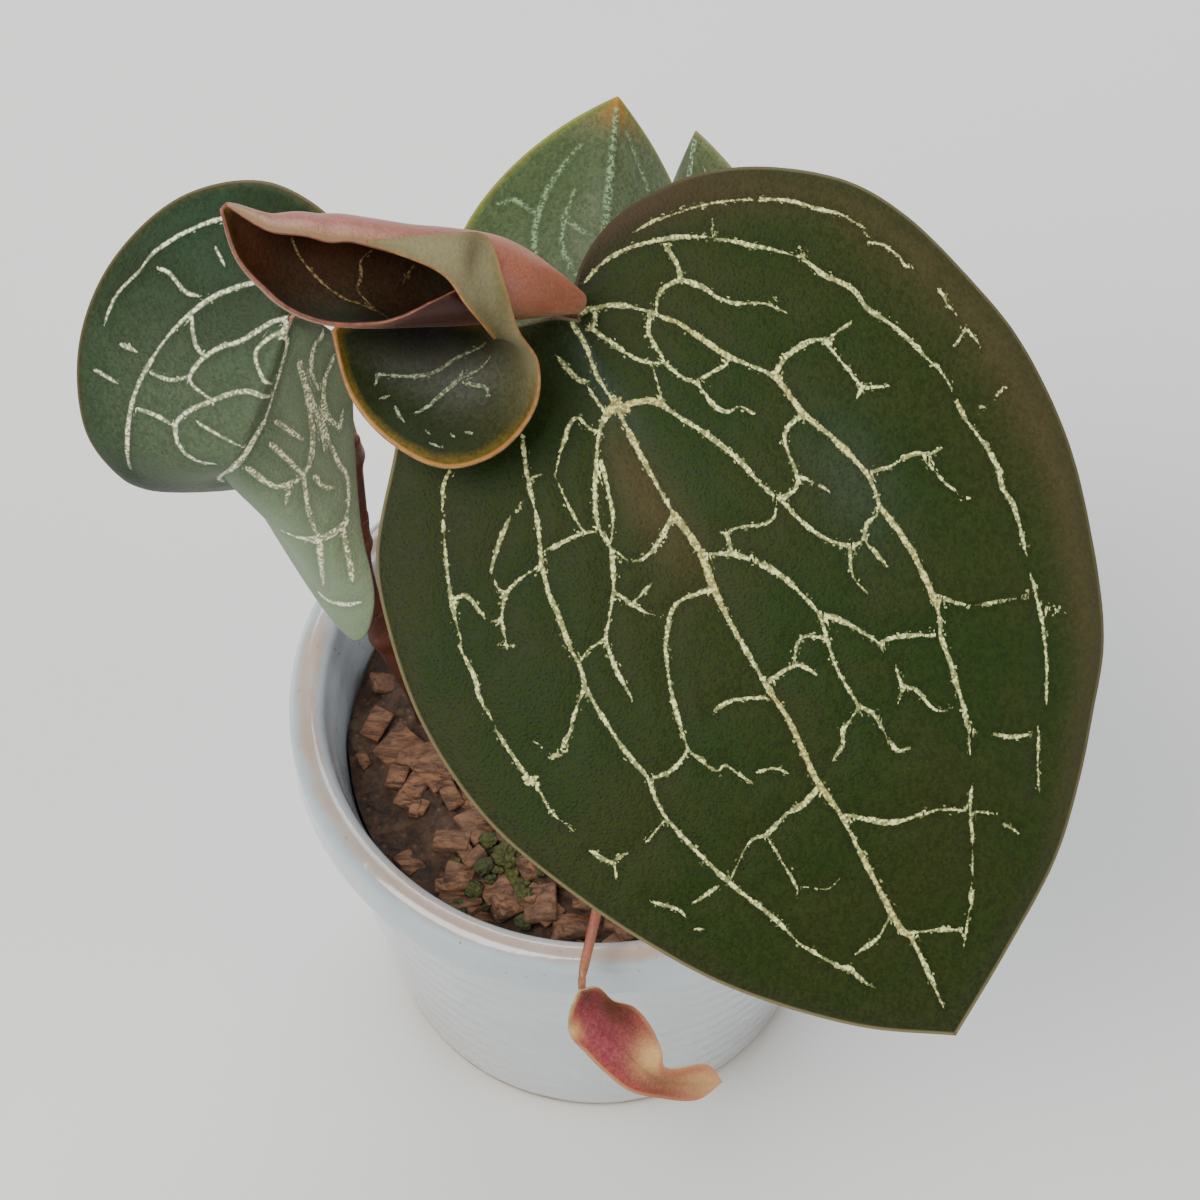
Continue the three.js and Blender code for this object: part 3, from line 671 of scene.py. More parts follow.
def vein_fields(surface, veins, points, facing):
    """For each point, in mm: how far the nearest vein's middle is, on which side, and half its width.

    The last third of a vein narrows to half its width. Farther off than VEIN_REACH, no vein counts.
    """
    far = np.full(len(points), VEIN_REACH)
    side = far.copy()
    half = np.zeros(len(points))
    for width, *places in veins:
        curve = Curve([(*place, 0) for place in places])
        shares = np.linspace(0.0, 1.0, 100 * (len(places) - 1) + 1)
        across, along, _ = curve.at(shares).T / 1000
        line = surface((across + 1) / 2, along)
        walked = np.concatenate(([0.0], np.cumsum(np.linalg.norm(np.diff(line, axis=0), axis=1))))
        kept = np.searchsorted(walked, np.arange(0.0, walked[-1], VEIN_STEP))
        spots, ways = line[kept], unit(np.gradient(line, axis=0))[kept]
        thick = width / 2 * (1 - 0.5 * np.clip(shares[kept] * 3 - 2, 0, 1))
        lowest, highest = spots.min(axis=0) - VEIN_REACH, spots.max(axis=0) + VEIN_REACH
        near = np.flatnonzero(np.all((points > lowest) & (points < highest), axis=1))
        best, nearest = np.full(len(near), VEIN_REACH), np.zeros(len(near), int)
        for number, spot in enumerate(spots):
            reach = np.linalg.norm(points[near] - spot, axis=1)
            closer = reach < best
            best[closer], nearest[closer] = reach[closer], number
        closer = best - thick[nearest] < far[near] - half[near]
        rows, nearest, best = near[closer], nearest[closer], best[closer]
        turn = np.cross(ways[nearest], points[rows] - spots[nearest])
        side[rows] = best * np.where(np.sum(turn * facing[rows], axis=1) < 0, -1, 1)
        far[rows], half[rows] = best, thick[nearest]
    return far, side, half


def margin_gaps(surface, points):
    """The distance from each point of the leaf to its margin, in mm."""
    run = np.linspace(0.0, 1.0, 900)
    spots = [surface(np.full(run.shape, side), run) for side in (0.0, 1.0)]
    spots.append(surface(run, np.ones(run.shape)))
    spots = np.vstack(spots)
    tree = kdtree.KDTree(len(spots))
    for number, spot in enumerate(spots):
        tree.insert(spot, number)
    tree.balance()
    return np.array([tree.find(point)[2] for point in points])


def spot_strength(spots, across, along):
    """How strongly each place of a leaf lies in its soft spots of (across, along, wide, long, strength)."""
    total = np.zeros(across.shape)
    for across_at, along_at, wide, long, strength in spots:
        total += strength * np.exp(-(((across - across_at) / wide) ** 2) - ((along - along_at) / long) ** 2)
    return np.clip(total, 0.0, 1.0)


def facing_of(surface, u, v):
    """The direction that the surface faces at each place, steady at a row that closes in one point."""
    corner = np.linalg.norm(surface(np.zeros_like(u), v) - surface(np.ones_like(u), v), axis=-1) < 1e-6
    u = np.where(corner, 0.5, u)
    v = np.where(corner, np.clip(v, 0.03, 0.97), v)
    crosswise = surface(np.minimum(u + NEAR, 1), v) - surface(np.maximum(u - NEAR, 0), v)
    lengthwise = surface(u, np.minimum(v + NEAR, 1)) - surface(u, np.maximum(v - NEAR, 0))
    return unit(np.cross(crosswise, lengthwise))


LEAF_FIELDS = ("vein_far", "vein_side", "vein_half", "rim_gap", "flush_and_sheen", "sheen_and_shade", "shade_and_brown")


def build_leaf(name, surface, grid, veins, skins, flush_and_sheen=(), sheen_and_shade=(), shade_and_brown=(), flip=False, swell=1.0):
    """A closed leaf: its upper and under faces on both sides of the surface, joined round the margin.

    The three kinds of soft spot, in their order here, are where the skins take on their other tones: the
    first gives flushes of the leaf's own colour and painted sheen, the second painted sheen, reflection and
    shade, and the third painted shade and brown patches of the leaf's own colour. flip makes the other side
    of the surface the upper one.
    """
    sizes = bpy.context.scene.orchid_sizes
    columns, rows = grid
    bm = bmesh.new()
    layers = [bm.verts.layers.float.new(key) for key in LEAF_FIELDS]
    bmesh.ops.create_grid(bm, x_segments=columns, y_segments=rows, size=0.5)
    upper = list(bm.verts)
    places = np.array([vert.co[:2] for vert in upper]) + 0.5
    u, v = places.T.clip(0.0, 1.0)
    points = surface(u, v)
    facing = facing_of(surface, u, v) * (-1 if flip else 1)
    vein_far, vein_side, vein_half = vein_fields(surface, veins, points, facing)
    rim_gap = margin_gaps(surface, points)
    soft_spots = [spot_strength(spots, 2 * u - 1, v) for spots in (flush_and_sheen, sheen_and_shade, shade_and_brown)]
    for layer, values in zip(layers, (vein_far, vein_side, vein_half, rim_gap, *soft_spots)):
        for vert, value in zip(upper, values):
            vert[layer] = value

    body = np.clip(rim_gap / MARGIN_TAPER, 0.0, 1.0)
    body = body * (2 - body)
    half_thickness = (sizes.edge + (sizes.blade - sizes.edge) * body) / 2
    puff = np.clip((vein_far - vein_half) / SWELL_REACH, 0.0, 1.0)
    puff = (puff * puff * (3 - 2 * puff) - 0.5) * sizes.quilting * swell * body
    middle = points * MM + facing * puff[:, None]

    copied = bmesh.ops.duplicate(bm, geom=bm.verts[:] + bm.edges[:] + bm.faces[:])
    twin_of = copied["vert_map"]
    twins = [twin_of[vert] for vert in upper]
    under_faces = [item for item in copied["geom"] if isinstance(item, bmesh.types.BMFace)]
    for face in under_faces:
        face.material_index = 1
    turned = [face for face in bm.faces if face.material_index == 0] if flip else under_faces
    bmesh.ops.reverse_faces(bm, faces=turned)
    for vert, twin, place, away, half in zip(upper, twins, middle, facing, half_thickness):
        vert.co = place + away * half
        twin.co = place - away * half
    bmesh.ops.remove_doubles(bm, verts=bm.verts[:], dist=2 * WELD)
    open_edges = [edge for edge in bm.edges if edge.is_boundary]
    rim = bmesh.ops.bridge_loops(bm, edges=open_edges)
    for face in rim["faces"]:
        face.material_index = 2
    return keep_piece(name, bm, skins)


def keep_piece(name, bm, materials):
    """Turns the bmesh into a smooth-shaded object at the origin that rides on the model."""
    mesh = bpy.data.meshes.new(name)
    for face in bm.faces:
        face.smooth = True
    bm.to_mesh(mesh)
    bm.free()
    piece = bpy.data.objects.new(name, mesh)
    bpy.context.scene.collection.objects.link(piece)
    for material in materials:
        mesh.materials.append(material)
    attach(piece, "root")
    return piece


def stands_for(piece, node):
    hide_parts(node)


def tube(bm, path, radius_at, rings, around, groove=0.0):
    """Adds a round tube along the path, closed at both ends. A groove hollows the side that faces up."""
    curve = Curve(path)
    made = bmesh.ops.create_grid(bm, x_segments=around, y_segments=rings, size=0.5)
    verts = made["verts"]
    shares = np.array([vert.co[:2] for vert in verts]) + 0.5
    turn, along = shares.T.clip(0.0, 1.0)
    spot = curve.evenly(along)
    tangent = curve.tangent(spot)
    side = unit(np.cross(tangent, np.array((0.31, 0.9, 0.29))))
    up = unit(np.cross(side, tangent))
    angle = 2 * math.pi * turn
    radius = radius_at(along) * (1 - groove * np.clip(np.sin(angle), 0, 1) ** 4)
    ring = side * np.cos(angle)[:, None] + up * np.sin(angle)[:, None]
    for vert, place in zip(verts, (curve.at(spot) + ring * radius[:, None]) * MM):
        vert.co = place
    faces = {face for vert in verts for face in vert.link_faces}
    bmesh.ops.remove_doubles(bm, verts=verts, dist=WELD)
    faces = [face for face in faces if face.is_valid]
    edges = {edge for face in faces for edge in face.edges if edge.is_boundary}
    caps = bmesh.ops.holes_fill(bm, edges=list(edges))["faces"]
    bmesh.ops.recalc_face_normals(bm, faces=faces + caps)


def build_stalk(name, stalk, material, node, groove=0.22):
    path, radius = stalk
    bm = bmesh.new()
    tube(bm, path, lambda along: setting(radius, along), 60, 20, groove)
    piece = keep_piece(name, bm, [material])
    stands_for(piece, node)


# ---- Shader helpers ----
# Grains, sizes and widths in the shaders are for coordinates in millimetres.

# Grain of the painted glints on the veins, per millimetre.
GLINT_GRAIN = 5.2


class Wiring:
    """Adds nodes to one tree and feeds their sockets from other sockets or from plain values."""

    def __init__(self, tree):
        self.tree = tree

    def node(self, kind, feeds=(), **choices):
        made = self.tree.nodes.new(kind)
        for key, choice in choices.items():
            setattr(made, key, choice)
        for socket, source in dict(feeds).items():
            self.feed(made.inputs[socket], source)
        return made

    def feed(self, socket, source):
        if isinstance(source, bpy.types.NodeSocket):
            self.tree.links.new(source, socket)
        else:
            socket.default_value = source

    def maths(self, operation, first, second=0.0, clamp=False):
        feeds = {0: first, 1: second}
        return self.node("ShaderNodeMath", feeds, operation=operation, use_clamp=clamp).outputs[0]

    def between(self, value, low, high, start=0.0, end=1.0):
        """Runs smoothly from start to end while value goes from low to high."""
        feeds = {"Value": value, "From Min": low, "From Max": high, "To Min": start, "To Max": end}
        return self.node("ShaderNodeMapRange", feeds, interpolation_type="SMOOTHSTEP").outputs[0]

    def blend(self, factor, first, second, how="MIX"):
        made = self.node("ShaderNodeMix", {0: factor, 6: first, 7: second}, data_type="RGBA", blend_type=how)
        return made.outputs[2]

    def mix(self, factor, first, second):
        return self.node("ShaderNodeMix", {0: factor, 2: first, 3: second}).outputs[0]

    def grey(self, value):
        """A colour with the value in all three of its parts."""
        return self.node("ShaderNodeCombineColor", {part: value for part in range(3)}).outputs[0]

    def field(self, name):
        return self.node("ShaderNodeAttribute", attribute_name=name).outputs["Fac"]

    def place(self, stretch=(1.0, 1.0, 1.0)):
        """The place on the object in millimetres."""
        spot = self.node("ShaderNodeTexCoord").outputs["Object"]
        scale = tuple(1000 * part for part in stretch)
        return self.node("ShaderNodeVectorMath", {0: spot, 1: scale}, operation="MULTIPLY").outputs[0]

    def clouds(self, place, scale, detail=3.0, rough=0.55, warp=0.0):
        feeds = {"Vector": place, "Scale": scale, "Detail": detail, "Roughness": rough, "Distortion": warp}
        return self.node("ShaderNodeTexNoise", feeds).outputs["Fac"]

    def cells(self, place, scale, feature="F1", output="Distance"):
        feeds = {"Vector": place, "Scale": scale}
        return self.node("ShaderNodeTexVoronoi", feeds, feature=feature).outputs[output]

    def use(self, group, **feeds):
        made = self.node("ShaderNodeGroup", node_tree=group)
        for socket, source in feeds.items():
            self.feed(made.inputs[socket], source)
        return made.outputs

    def bump(self, height, strength, distance):
        feeds = {"Height": height, "Strength": strength, "Distance": distance}
        return self.node("ShaderNodeBump", feeds).outputs["Normal"]


def new_group(name, inputs, outputs):
    """An empty node group with named sockets: its wiring, its input sockets and its output node."""
    tree = bpy.data.node_groups.new(name, "ShaderNodeTree")
    for socket, (kind, default) in inputs.items():
        made = tree.interface.new_socket(socket, in_out="INPUT", socket_type=f"NodeSocket{kind}")
        if default is not None:
            made.default_value = default
    for socket in outputs:
        tree.interface.new_socket(socket, in_out="OUTPUT", socket_type="NodeSocketFloat")
    wiring = Wiring(tree)
    return wiring, wiring.node("NodeGroupInput").outputs, wiring.node("NodeGroupOutput").inputs


def named_group(name, build):
    return bpy.data.node_groups.get(name) or build(name)


def net_vein_group(name):
    """A pale ragged vein, from the distance to its edge, with painted glints and painted sparks beside it."""
    inputs = {
        "Gap": ("Float", 1.0),
        "Place": ("Vector", None),
        "Ragged": ("Float", 0.9),
        "Grain": ("Float", 3.0),
        "Soft": ("Float", 0.05),
    }
    wiring, given, out = new_group(name, inputs, ("Mask", "Glint"))
    frayed = wiring.clouds(given["Place"], given["Grain"], 4.0, 0.75)
    broad = wiring.clouds(given["Place"], 0.6, 2.0)
    shift = wiring.maths("ADD", wiring.maths("SUBTRACT", frayed, 0.5), wiring.maths("SUBTRACT", broad, 0.5))
    gap = wiring.maths("ADD", given["Gap"], wiring.maths("MULTIPLY", shift, given["Ragged"]))
    # Painted glints: each cell of this grain lights a patch of the vein brighter or dimmer.
    glint_cells = wiring.cells(given["Place"], GLINT_GRAIN, "F1", "Color")
    split = wiring.node("ShaderNodeSeparateColor", {0: glint_cells}).outputs
    bright = wiring.between(split[0], 0.3, 0.8)
    vein = wiring.between(gap, wiring.maths("MULTIPLY", given["Soft"], -1.0), given["Soft"], 1.0, 0.0)
    nearby = wiring.maths("MULTIPLY", wiring.between(gap, 0.0, 0.35, 0.2, 0.0), given["Ragged"])
    # Painted highlights: tiny sparks of vein colour scattered on the blade close to the vein.
    sparks = wiring.maths("MULTIPLY", wiring.maths("LESS_THAN", split[1], nearby), 0.5)
    wiring.feed(out["Mask"], wiring.maths("MAXIMUM", vein, sparks))
    wiring.feed(out["Glint"], bright)
    return wiring.tree


def velvet_group(name):
    """The crowded little cones of a velvety skin: their height, and their slightly different shades."""
    inputs = {"Place": ("Vector", None), "Grain": ("Float", 4.0)}
    wiring, given, out = new_group(name, inputs, ("Height", "Fleck"))
    domes = wiring.cells(given["Place"], given["Grain"], "SMOOTH_F1")
    shade = wiring.cells(given["Place"], given["Grain"], "F1", "Color")
    wiring.feed(out["Height"], wiring.between(domes, 0.0, 0.6, 1.0, 0.0))
    wiring.feed(out["Fleck"], wiring.node("ShaderNodeSeparateColor", {0: shade}).outputs[1])
    return wiring.tree


def mottle_group(name):
    """Soft patches that differ in colour, with finer ones inside them."""
    inputs = {"Place": ("Vector", None), "Size": ("Float", 8.0)}
    wiring, given, out = new_group(name, inputs, ("Patch",))
    large = wiring.clouds(given["Place"], wiring.maths("DIVIDE", 1.0, given["Size"]), 5.0, 0.6, 0.4)
    wiring.feed(out["Patch"], wiring.between(large, 0.36, 0.64))
    return wiring.tree


def margin_group(name):
    """A band along the margin with a wandering inner edge."""
    inputs = {"Gap": ("Float", 1.0), "Place": ("Vector", None), "Width": ("Float", 1.5)}
    wiring, given, out = new_group(name, inputs, ("Band",))
    wander = wiring.maths("SUBTRACT", wiring.clouds(given["Place"], 0.35, 4.0), 0.5)
    spread = wiring.maths("ADD", 1.0, wiring.maths("MULTIPLY", wander, 1.4))
    inner = wiring.maths("MULTIPLY", given["Width"], spread)
    share = wiring.maths("DIVIDE", given["Gap"], inner)
    wiring.feed(out["Band"], wiring.between(share, 0.35, 1.15, 1.0, 0.0))
    return wiring.tree


def new_material(name):
    """A material with its wiring and its Principled shader."""
    material = bpy.data.materials.new(name)
    material.use_nodes = True
    wiring = Wiring(material.node_tree)
    return material, wiring, material.node_tree.nodes["Principled BSDF"].inputs


# ---- Leaf skins ----

# VEIN_END and TAN_RANGE are in millimetres: how far a vein runs past its last spot, and over how much more
# half width a fine vein turns into a broad one.
VEIN_GRAIN = 3.4
VEIN_END = 0.18
TAN_RANGE = 0.09
# Red-brown of the third soft-spot tone: painted shade on the young leaf, brown patches on other leaves.
SHADE_AND_BROWN = tone(92, 46, 36)


def leaf_skin(
    name,
    blade,
    patch,
    vein,
    margin,
    rim,
    flush_and_sheen,
    sheen_and_shade,
    margin_width=1.5,
    rim_width=0.35,
    vein_strength=1.0,
    ragged=0.4,
    soft=0.05,
    grain=4.2,
    relief=0.5,
    roughness=0.55,
    sheen=0.02,
    gloss=0.12,
    patch_size=9.0,
    tan_from=0.14,
    glow=0.0,
):
    """The skin of one face of a leaf, from the blade's own fields and from named colours.

    A vein whose half width is under tan_from mm is fine and silvery; a wider one is broad and tan. Past a
    vein's end the distance to its side runs on, so the true distance, less VEIN_END, closes it.
    """
    if name in bpy.data.materials:
        return bpy.data.materials[name]
    material, w, shader = new_material(name)
    place = w.place()
    velvet = w.use(named_group("Velvet", velvet_group), Place=place, Grain=grain)
    patches = w.use(named_group("Mottle", mottle_group), Place=place, Size=patch_size)["Patch"]
    rim_gap = w.field("rim_gap")
    band = w.use(named_group("Margin", margin_group), Gap=rim_gap, Place=place, Width=margin_width)["Band"]
    beside = w.maths("ABSOLUTE", w.field("vein_side"))
    beyond = w.maths("SUBTRACT", w.field("vein_far"), VEIN_END)
    gap = w.maths("SUBTRACT", w.maths("MAXIMUM", beside, beyond), w.field("vein_half"))
    net_vein = named_group("Net vein", net_vein_group)
    net = w.use(net_vein, Gap=gap, Place=place, Ragged=ragged, Grain=VEIN_GRAIN, Soft=soft)

    colour = w.blend(patches, blade, patch)
    # Second soft-spot tone: painted sheen and shade, with blue-grey reflections on some leaves and dark
    # shadow on others.
    colour = w.blend(w.field("sheen_and_shade"), colour, sheen_and_shade)
    # First soft-spot tone: flushes of the leaf's own colour, and a painted sheen on the folded leaf and the
    # young lobe.
    colour = w.blend(w.field("flush_and_sheen"), colour, flush_and_sheen)
    plain = w.maths("SUBTRACT", 1.0, w.maths("MAXIMUM", w.field("flush_and_sheen"), w.field("sheen_and_shade")))
    colour = w.blend(w.maths("MULTIPLY", band, plain), colour, margin)
    contrast = w.mix(w.field("flush_and_sheen"), 0.46, 0.14)
    fleck = w.maths("MULTIPLY", w.maths("SUBTRACT", velvet["Fleck"], 0.5), contrast)
    # Painted shade: the blade a little darker in the grooves beside the veins.
    vein_groove_shade = w.between(gap, 0.0, 0.9, 0.86, 1.0)
    colour = w.blend(1.0, colour, w.grey(w.maths("ADD", 0.97, fleck)), "MULTIPLY")
    colour = w.blend(1.0, colour, w.grey(vein_groove_shade), "MULTIPLY")
    # A thin band of the rim colour along the margin: partly the margin's own colour, partly a painted
    # highlight.
    edge = w.maths("MULTIPLY", w.between(rim_gap, rim_width * 0.4, rim_width, 1.0, 0.0), plain)
    colour = w.blend(edge, colour, rim)
    mask = w.maths("MULTIPLY", net["Mask"], w.maths("SUBTRACT", vein_strength, edge, clamp=True))
    # Painted glints: cell by cell, fine veins run from dim to bright bluish white and broad ones from dim to
    # pale tan.
    fine_vein = w.blend(net["Glint"], tinted(vein, 0.36, 0.44, 0.4), tinted(vein, 1.4, 1.6, 1.7))
    broad_vein = w.blend(net["Glint"], tinted(vein, 0.4, 0.42, 0.34), tinted(vein, 1.1, 1.14, 0.98))
    thick = w.between(w.field("vein_half"), tan_from, tan_from + TAN_RANGE)
    colour = w.blend(mask, colour, w.blend(thick, fine_vein, broad_vein))
    # Third soft-spot tone, multiplied in: painted shade, and brown patches of the leaf's own colour.
    colour = w.blend(w.field("shade_and_brown"), colour, SHADE_AND_BROWN, "MULTIPLY")
    w.feed(shader["Base Color"], colour)
    w.feed(shader["Roughness"], w.mix(mask, w.mix(velvet["Fleck"], roughness - 0.08, roughness + 0.08), 0.42))
    height = w.maths("ADD", w.maths("MULTIPLY", velvet["Height"], relief), w.maths("MULTIPLY", mask, 0.7))
    w.feed(shader["Normal"], w.bump(height, 0.55, 0.00012))
    shader["Sheen Weight"].default_value = sheen
    shader["Sheen Roughness"].default_value = 0.4
    shader["Specular IOR Level"].default_value = gloss
    if glow:
        shader["Subsurface Weight"].default_value = glow
        shader["Subsurface Scale"].default_value = 0.0012
    return material


def velvet_skin():
    """Upper face of the large leaf."""
    colours = bpy.context.scene.orchid_colours
    return leaf_skin(
        "leaf_velvet_upper",
        blade=colours.velvet,
        patch=colours.velvet_patch,
        vein=colours.vein,
        margin=tone(44, 50, 23),
        rim=tone(118, 108, 78),
        flush_and_sheen=tone(84, 68, 46),
        # Blue-grey painted reflection of the sky near the base of the blade.
        sheen_and_shade=tone(62, 74, 66),
        margin_width=1.9,
    )


def pink_skin():
    """Under face of every living leaf."""
    colours = bpy.context.scene.orchid_colours
    return leaf_skin(
        "leaf_under_pink",
        blade=colours.pink,
        patch=tone(184, 112, 94),
        vein=tone(226, 176, 150),
        margin=tone(196, 142, 112),
        rim=tone(206, 158, 124),
        flush_and_sheen=tone(214, 150, 128),
        sheen_and_shade=tone(168, 92, 78),
        vein_strength=0.35,
        relief=0.3,
        roughness=0.5,
        sheen=0.1,
        glow=0.25,
    )


def rim_skin(name, colour):
    """The narrow wall round a leaf's margin."""
    if name in bpy.data.materials:
        return bpy.data.materials[name]
    material, w, shader = new_material(name)
    place = w.place()
    worn = w.clouds(place, 1.6, 4.0, 0.6)
    w.feed(shader["Base Color"], w.blend(w.between(worn, 0.35, 0.65), shaded(colour, 0.6), colour))
    w.feed(shader["Roughness"], w.between(worn, 0.3, 0.7, 0.45, 0.62))
    w.feed(shader["Normal"], w.bump(w.clouds(place, 5.0, 3.0), 0.3, 0.0001))
    return material


def stalk_skin(name, colour, second):
    """Fleshy stems and stalks: fine ribs along them, small specks and warm patches."""
    if name in bpy.data.materials:
        return bpy.data.materials[name]
    material, w, shader = new_material(name)
    place = w.place()
    ribs = w.clouds(w.place((2.6, 2.6, 0.25)), 1.0, 3.0, 0.6)
    patch = w.use(named_group("Mottle", mottle_group), Place=place, Size=5.0)["Patch"]
    velvet = w.use(named_group("Velvet", velvet_group), Place=place, Grain=3.2)
    speck = w.between(w.cells(place, 1.7), 0.12, 0.24, 1.0, 0.0)
    colour_mix = w.blend(patch, colour, second)
    colour_mix = w.blend(w.maths("MULTIPLY", speck, 0.45), colour_mix, shaded(second, 1.7))
    colour_mix = w.blend(w.between(ribs, 0.5, 0.75, 0.0, 0.55), colour_mix, shaded(colour, 0.55))
    w.feed(shader["Base Color"], colour_mix)
    w.feed(shader["Roughness"], w.between(ribs, 0.3, 0.7, 0.34, 0.52))
    height = w.maths("ADD", w.maths("MULTIPLY", ribs, 0.8), w.maths("MULTIPLY", velvet["Height"], 0.25))
    w.feed(shader["Normal"], w.bump(height, 0.45, 0.00016))
    shader["Subsurface Weight"].default_value = 0.15
    shader["Subsurface Scale"].default_value = 0.001
    return material


def pink_stalk_skin():
    return stalk_skin("stalk_pink", tone(120, 70, 54), tone(142, 94, 66))


# ---- Pieces: leaves ----


class ORCHID_OT_large_leaf(bpy.types.Operator):
    """Add the large velvet leaf with its net of veins"""

    bl_idname = "orchid.large_leaf"
    bl_label = "Large leaf"

    def execute(self, context):
        skins = [velvet_skin(), pink_skin(), rim_skin("rim_brown", tone(146, 132, 106))]
        leaf = build_leaf(
            "leaf_large_blade",
            LARGE_LEAF,
            (196, 214),
            LARGE_VEINS,
            skins,
            flush_and_sheen=(
                (0.12, 0.3, 0.14, 0.1, 0.55),
                (-0.97, 0.18, 0.1, 0.14, 0.85),
                (-0.97, 0.66, 0.1, 0.36, 0.6),
            ),
            # Painted blue-grey reflection near the base of the blade.
            sheen_and_shade=((0.28, 0.05, 0.3, 0.07, 0.7), (-0.45, 0.5, 0.1, 0.06, 0.3), (0.1, 0.16, 0.2, 0.06, 0.35)),
            shade_and_brown=((-0.96, 0.15, 0.14, 0.16, 0.5), (0.8, 0.3, 0.3, 0.25, 0.15)),
        )
        stands_for(leaf, "leaf_large")
        build_stalk("leaf_large_stalk", LARGE_STALK, pink_stalk_skin(), "leaf_large")
        return {"FINISHED"}


class ORCHID_OT_left_leaf(bpy.types.Operator):
    """Add the folded leaf of the side shoot"""

    bl_idname = "orchid.left_leaf"
    bl_label = "Folded leaf"

    def execute(self, context):
        upper = leaf_skin(
            "leaf_folded_upper",
            blade=tone(28, 42, 18),
            patch=tone(36, 56, 34),
            vein=tone(220, 220, 172),
            margin=tone(56, 60, 34),
            rim=tone(96, 84, 58),
            # Pale grey-green painted sheen for the hanging half, which is seen at a grazing angle.
            flush_and_sheen=tone(124, 142, 112),
            sheen_and_shade=tone(80, 94, 70),
            margin_width=0.9,
            ragged=0.14,
            soft=0.1,
            tan_from=0.4,
        )
        skins = [upper, pink_skin(), rim_skin("rim_rose", tone(112, 80, 58))]
        leaf = build_leaf(
            "leaf_left_blade",
            LEFT_LEAF,
            (150, 180),
            LEFT_VEINS,
            skins,
            # Painted sheen over the hanging half and along the fold; the tip pale as well.
            flush_and_sheen=((-0.8, 0.5, 0.62, 0.6, 0.9), (-0.6, 0.95, 0.9, 0.25, 0.8), (-0.3, 0.35, 0.22, 0.3, 0.6)),
            sheen_and_shade=((0.3, 0.62, 0.6, 0.2, 0.9), (0.0, 0.3, 0.3, 0.25, 0.4)),
            # Darker brown-pink along the lower edge: the edge's own colour with painted shade.
            shade_and_brown=((0.8, 0.8, 0.5, 0.09, 0.45),),
        )
        stands_for(leaf, "leaf_left")
        build_stalk("leaf_left_stalk", LEFT_STALK, pink_stalk_skin(), "leaf_left")
        return {"FINISHED"}


class ORCHID_OT_back_leaves(bpy.types.Operator):
    """Add the two smaller leaves at the back of the plant"""

    bl_idname = "orchid.back_leaves"
    bl_label = "Back leaves"

    def execute(self, context):
        rim = rim_skin("rim_straw", tone(176, 168, 108))
        back_upper = leaf_skin(
            "leaf_back_upper",
            blade=tone(68, 82, 50),
            patch=tone(84, 94, 68),
            vein=tone(118, 132, 96),
            margin=tone(96, 104, 48),
            rim=tone(130, 128, 66),
            flush_and_sheen=tone(176, 118, 38),
            sheen_and_shade=tone(98, 108, 84),
            margin_width=0.8,
            vein_strength=0.8,
            ragged=0.06,
            soft=0.2,
            tan_from=0.4,
        )
        back = build_leaf(
            "leaf_back_blade",
            BACK_LEAF,
            (110, 120),
            BACK_VEINS,
            [back_upper, pink_skin(), rim],
            flush_and_sheen=((0.0, 1.0, 1.2, 0.1, 0.9),),
            sheen_and_shade=((0.3, 0.4, 0.5, 0.3, 0.5),),
        )
        stands_for(back, "leaf_back")
        build_stalk("leaf_back_stalk", BACK_STALK, pink_stalk_skin(), "leaf_back")
        far_upper = leaf_skin(
            "leaf_far_upper",
            blade=tone(78, 90, 56),
            patch=tone(92, 102, 68),
            vein=tone(140, 150, 118),
            margin=tone(106, 112, 76),
            rim=tone(128, 124, 86),
            flush_and_sheen=tone(196, 150, 90),
            sheen_and_shade=tone(150, 160, 140),
            margin_width=0.8,
            ragged=0.3,
        )
        far = build_leaf("leaf_far_blade", FAR_LEAF, (100, 110), FAR_VEINS, [far_upper, pink_skin(), rim])
        stands_for(far, "leaf_far")
        build_stalk("leaf_far_stalk", FAR_STALK, pink_stalk_skin(), "leaf_far")
        return {"FINISHED"}


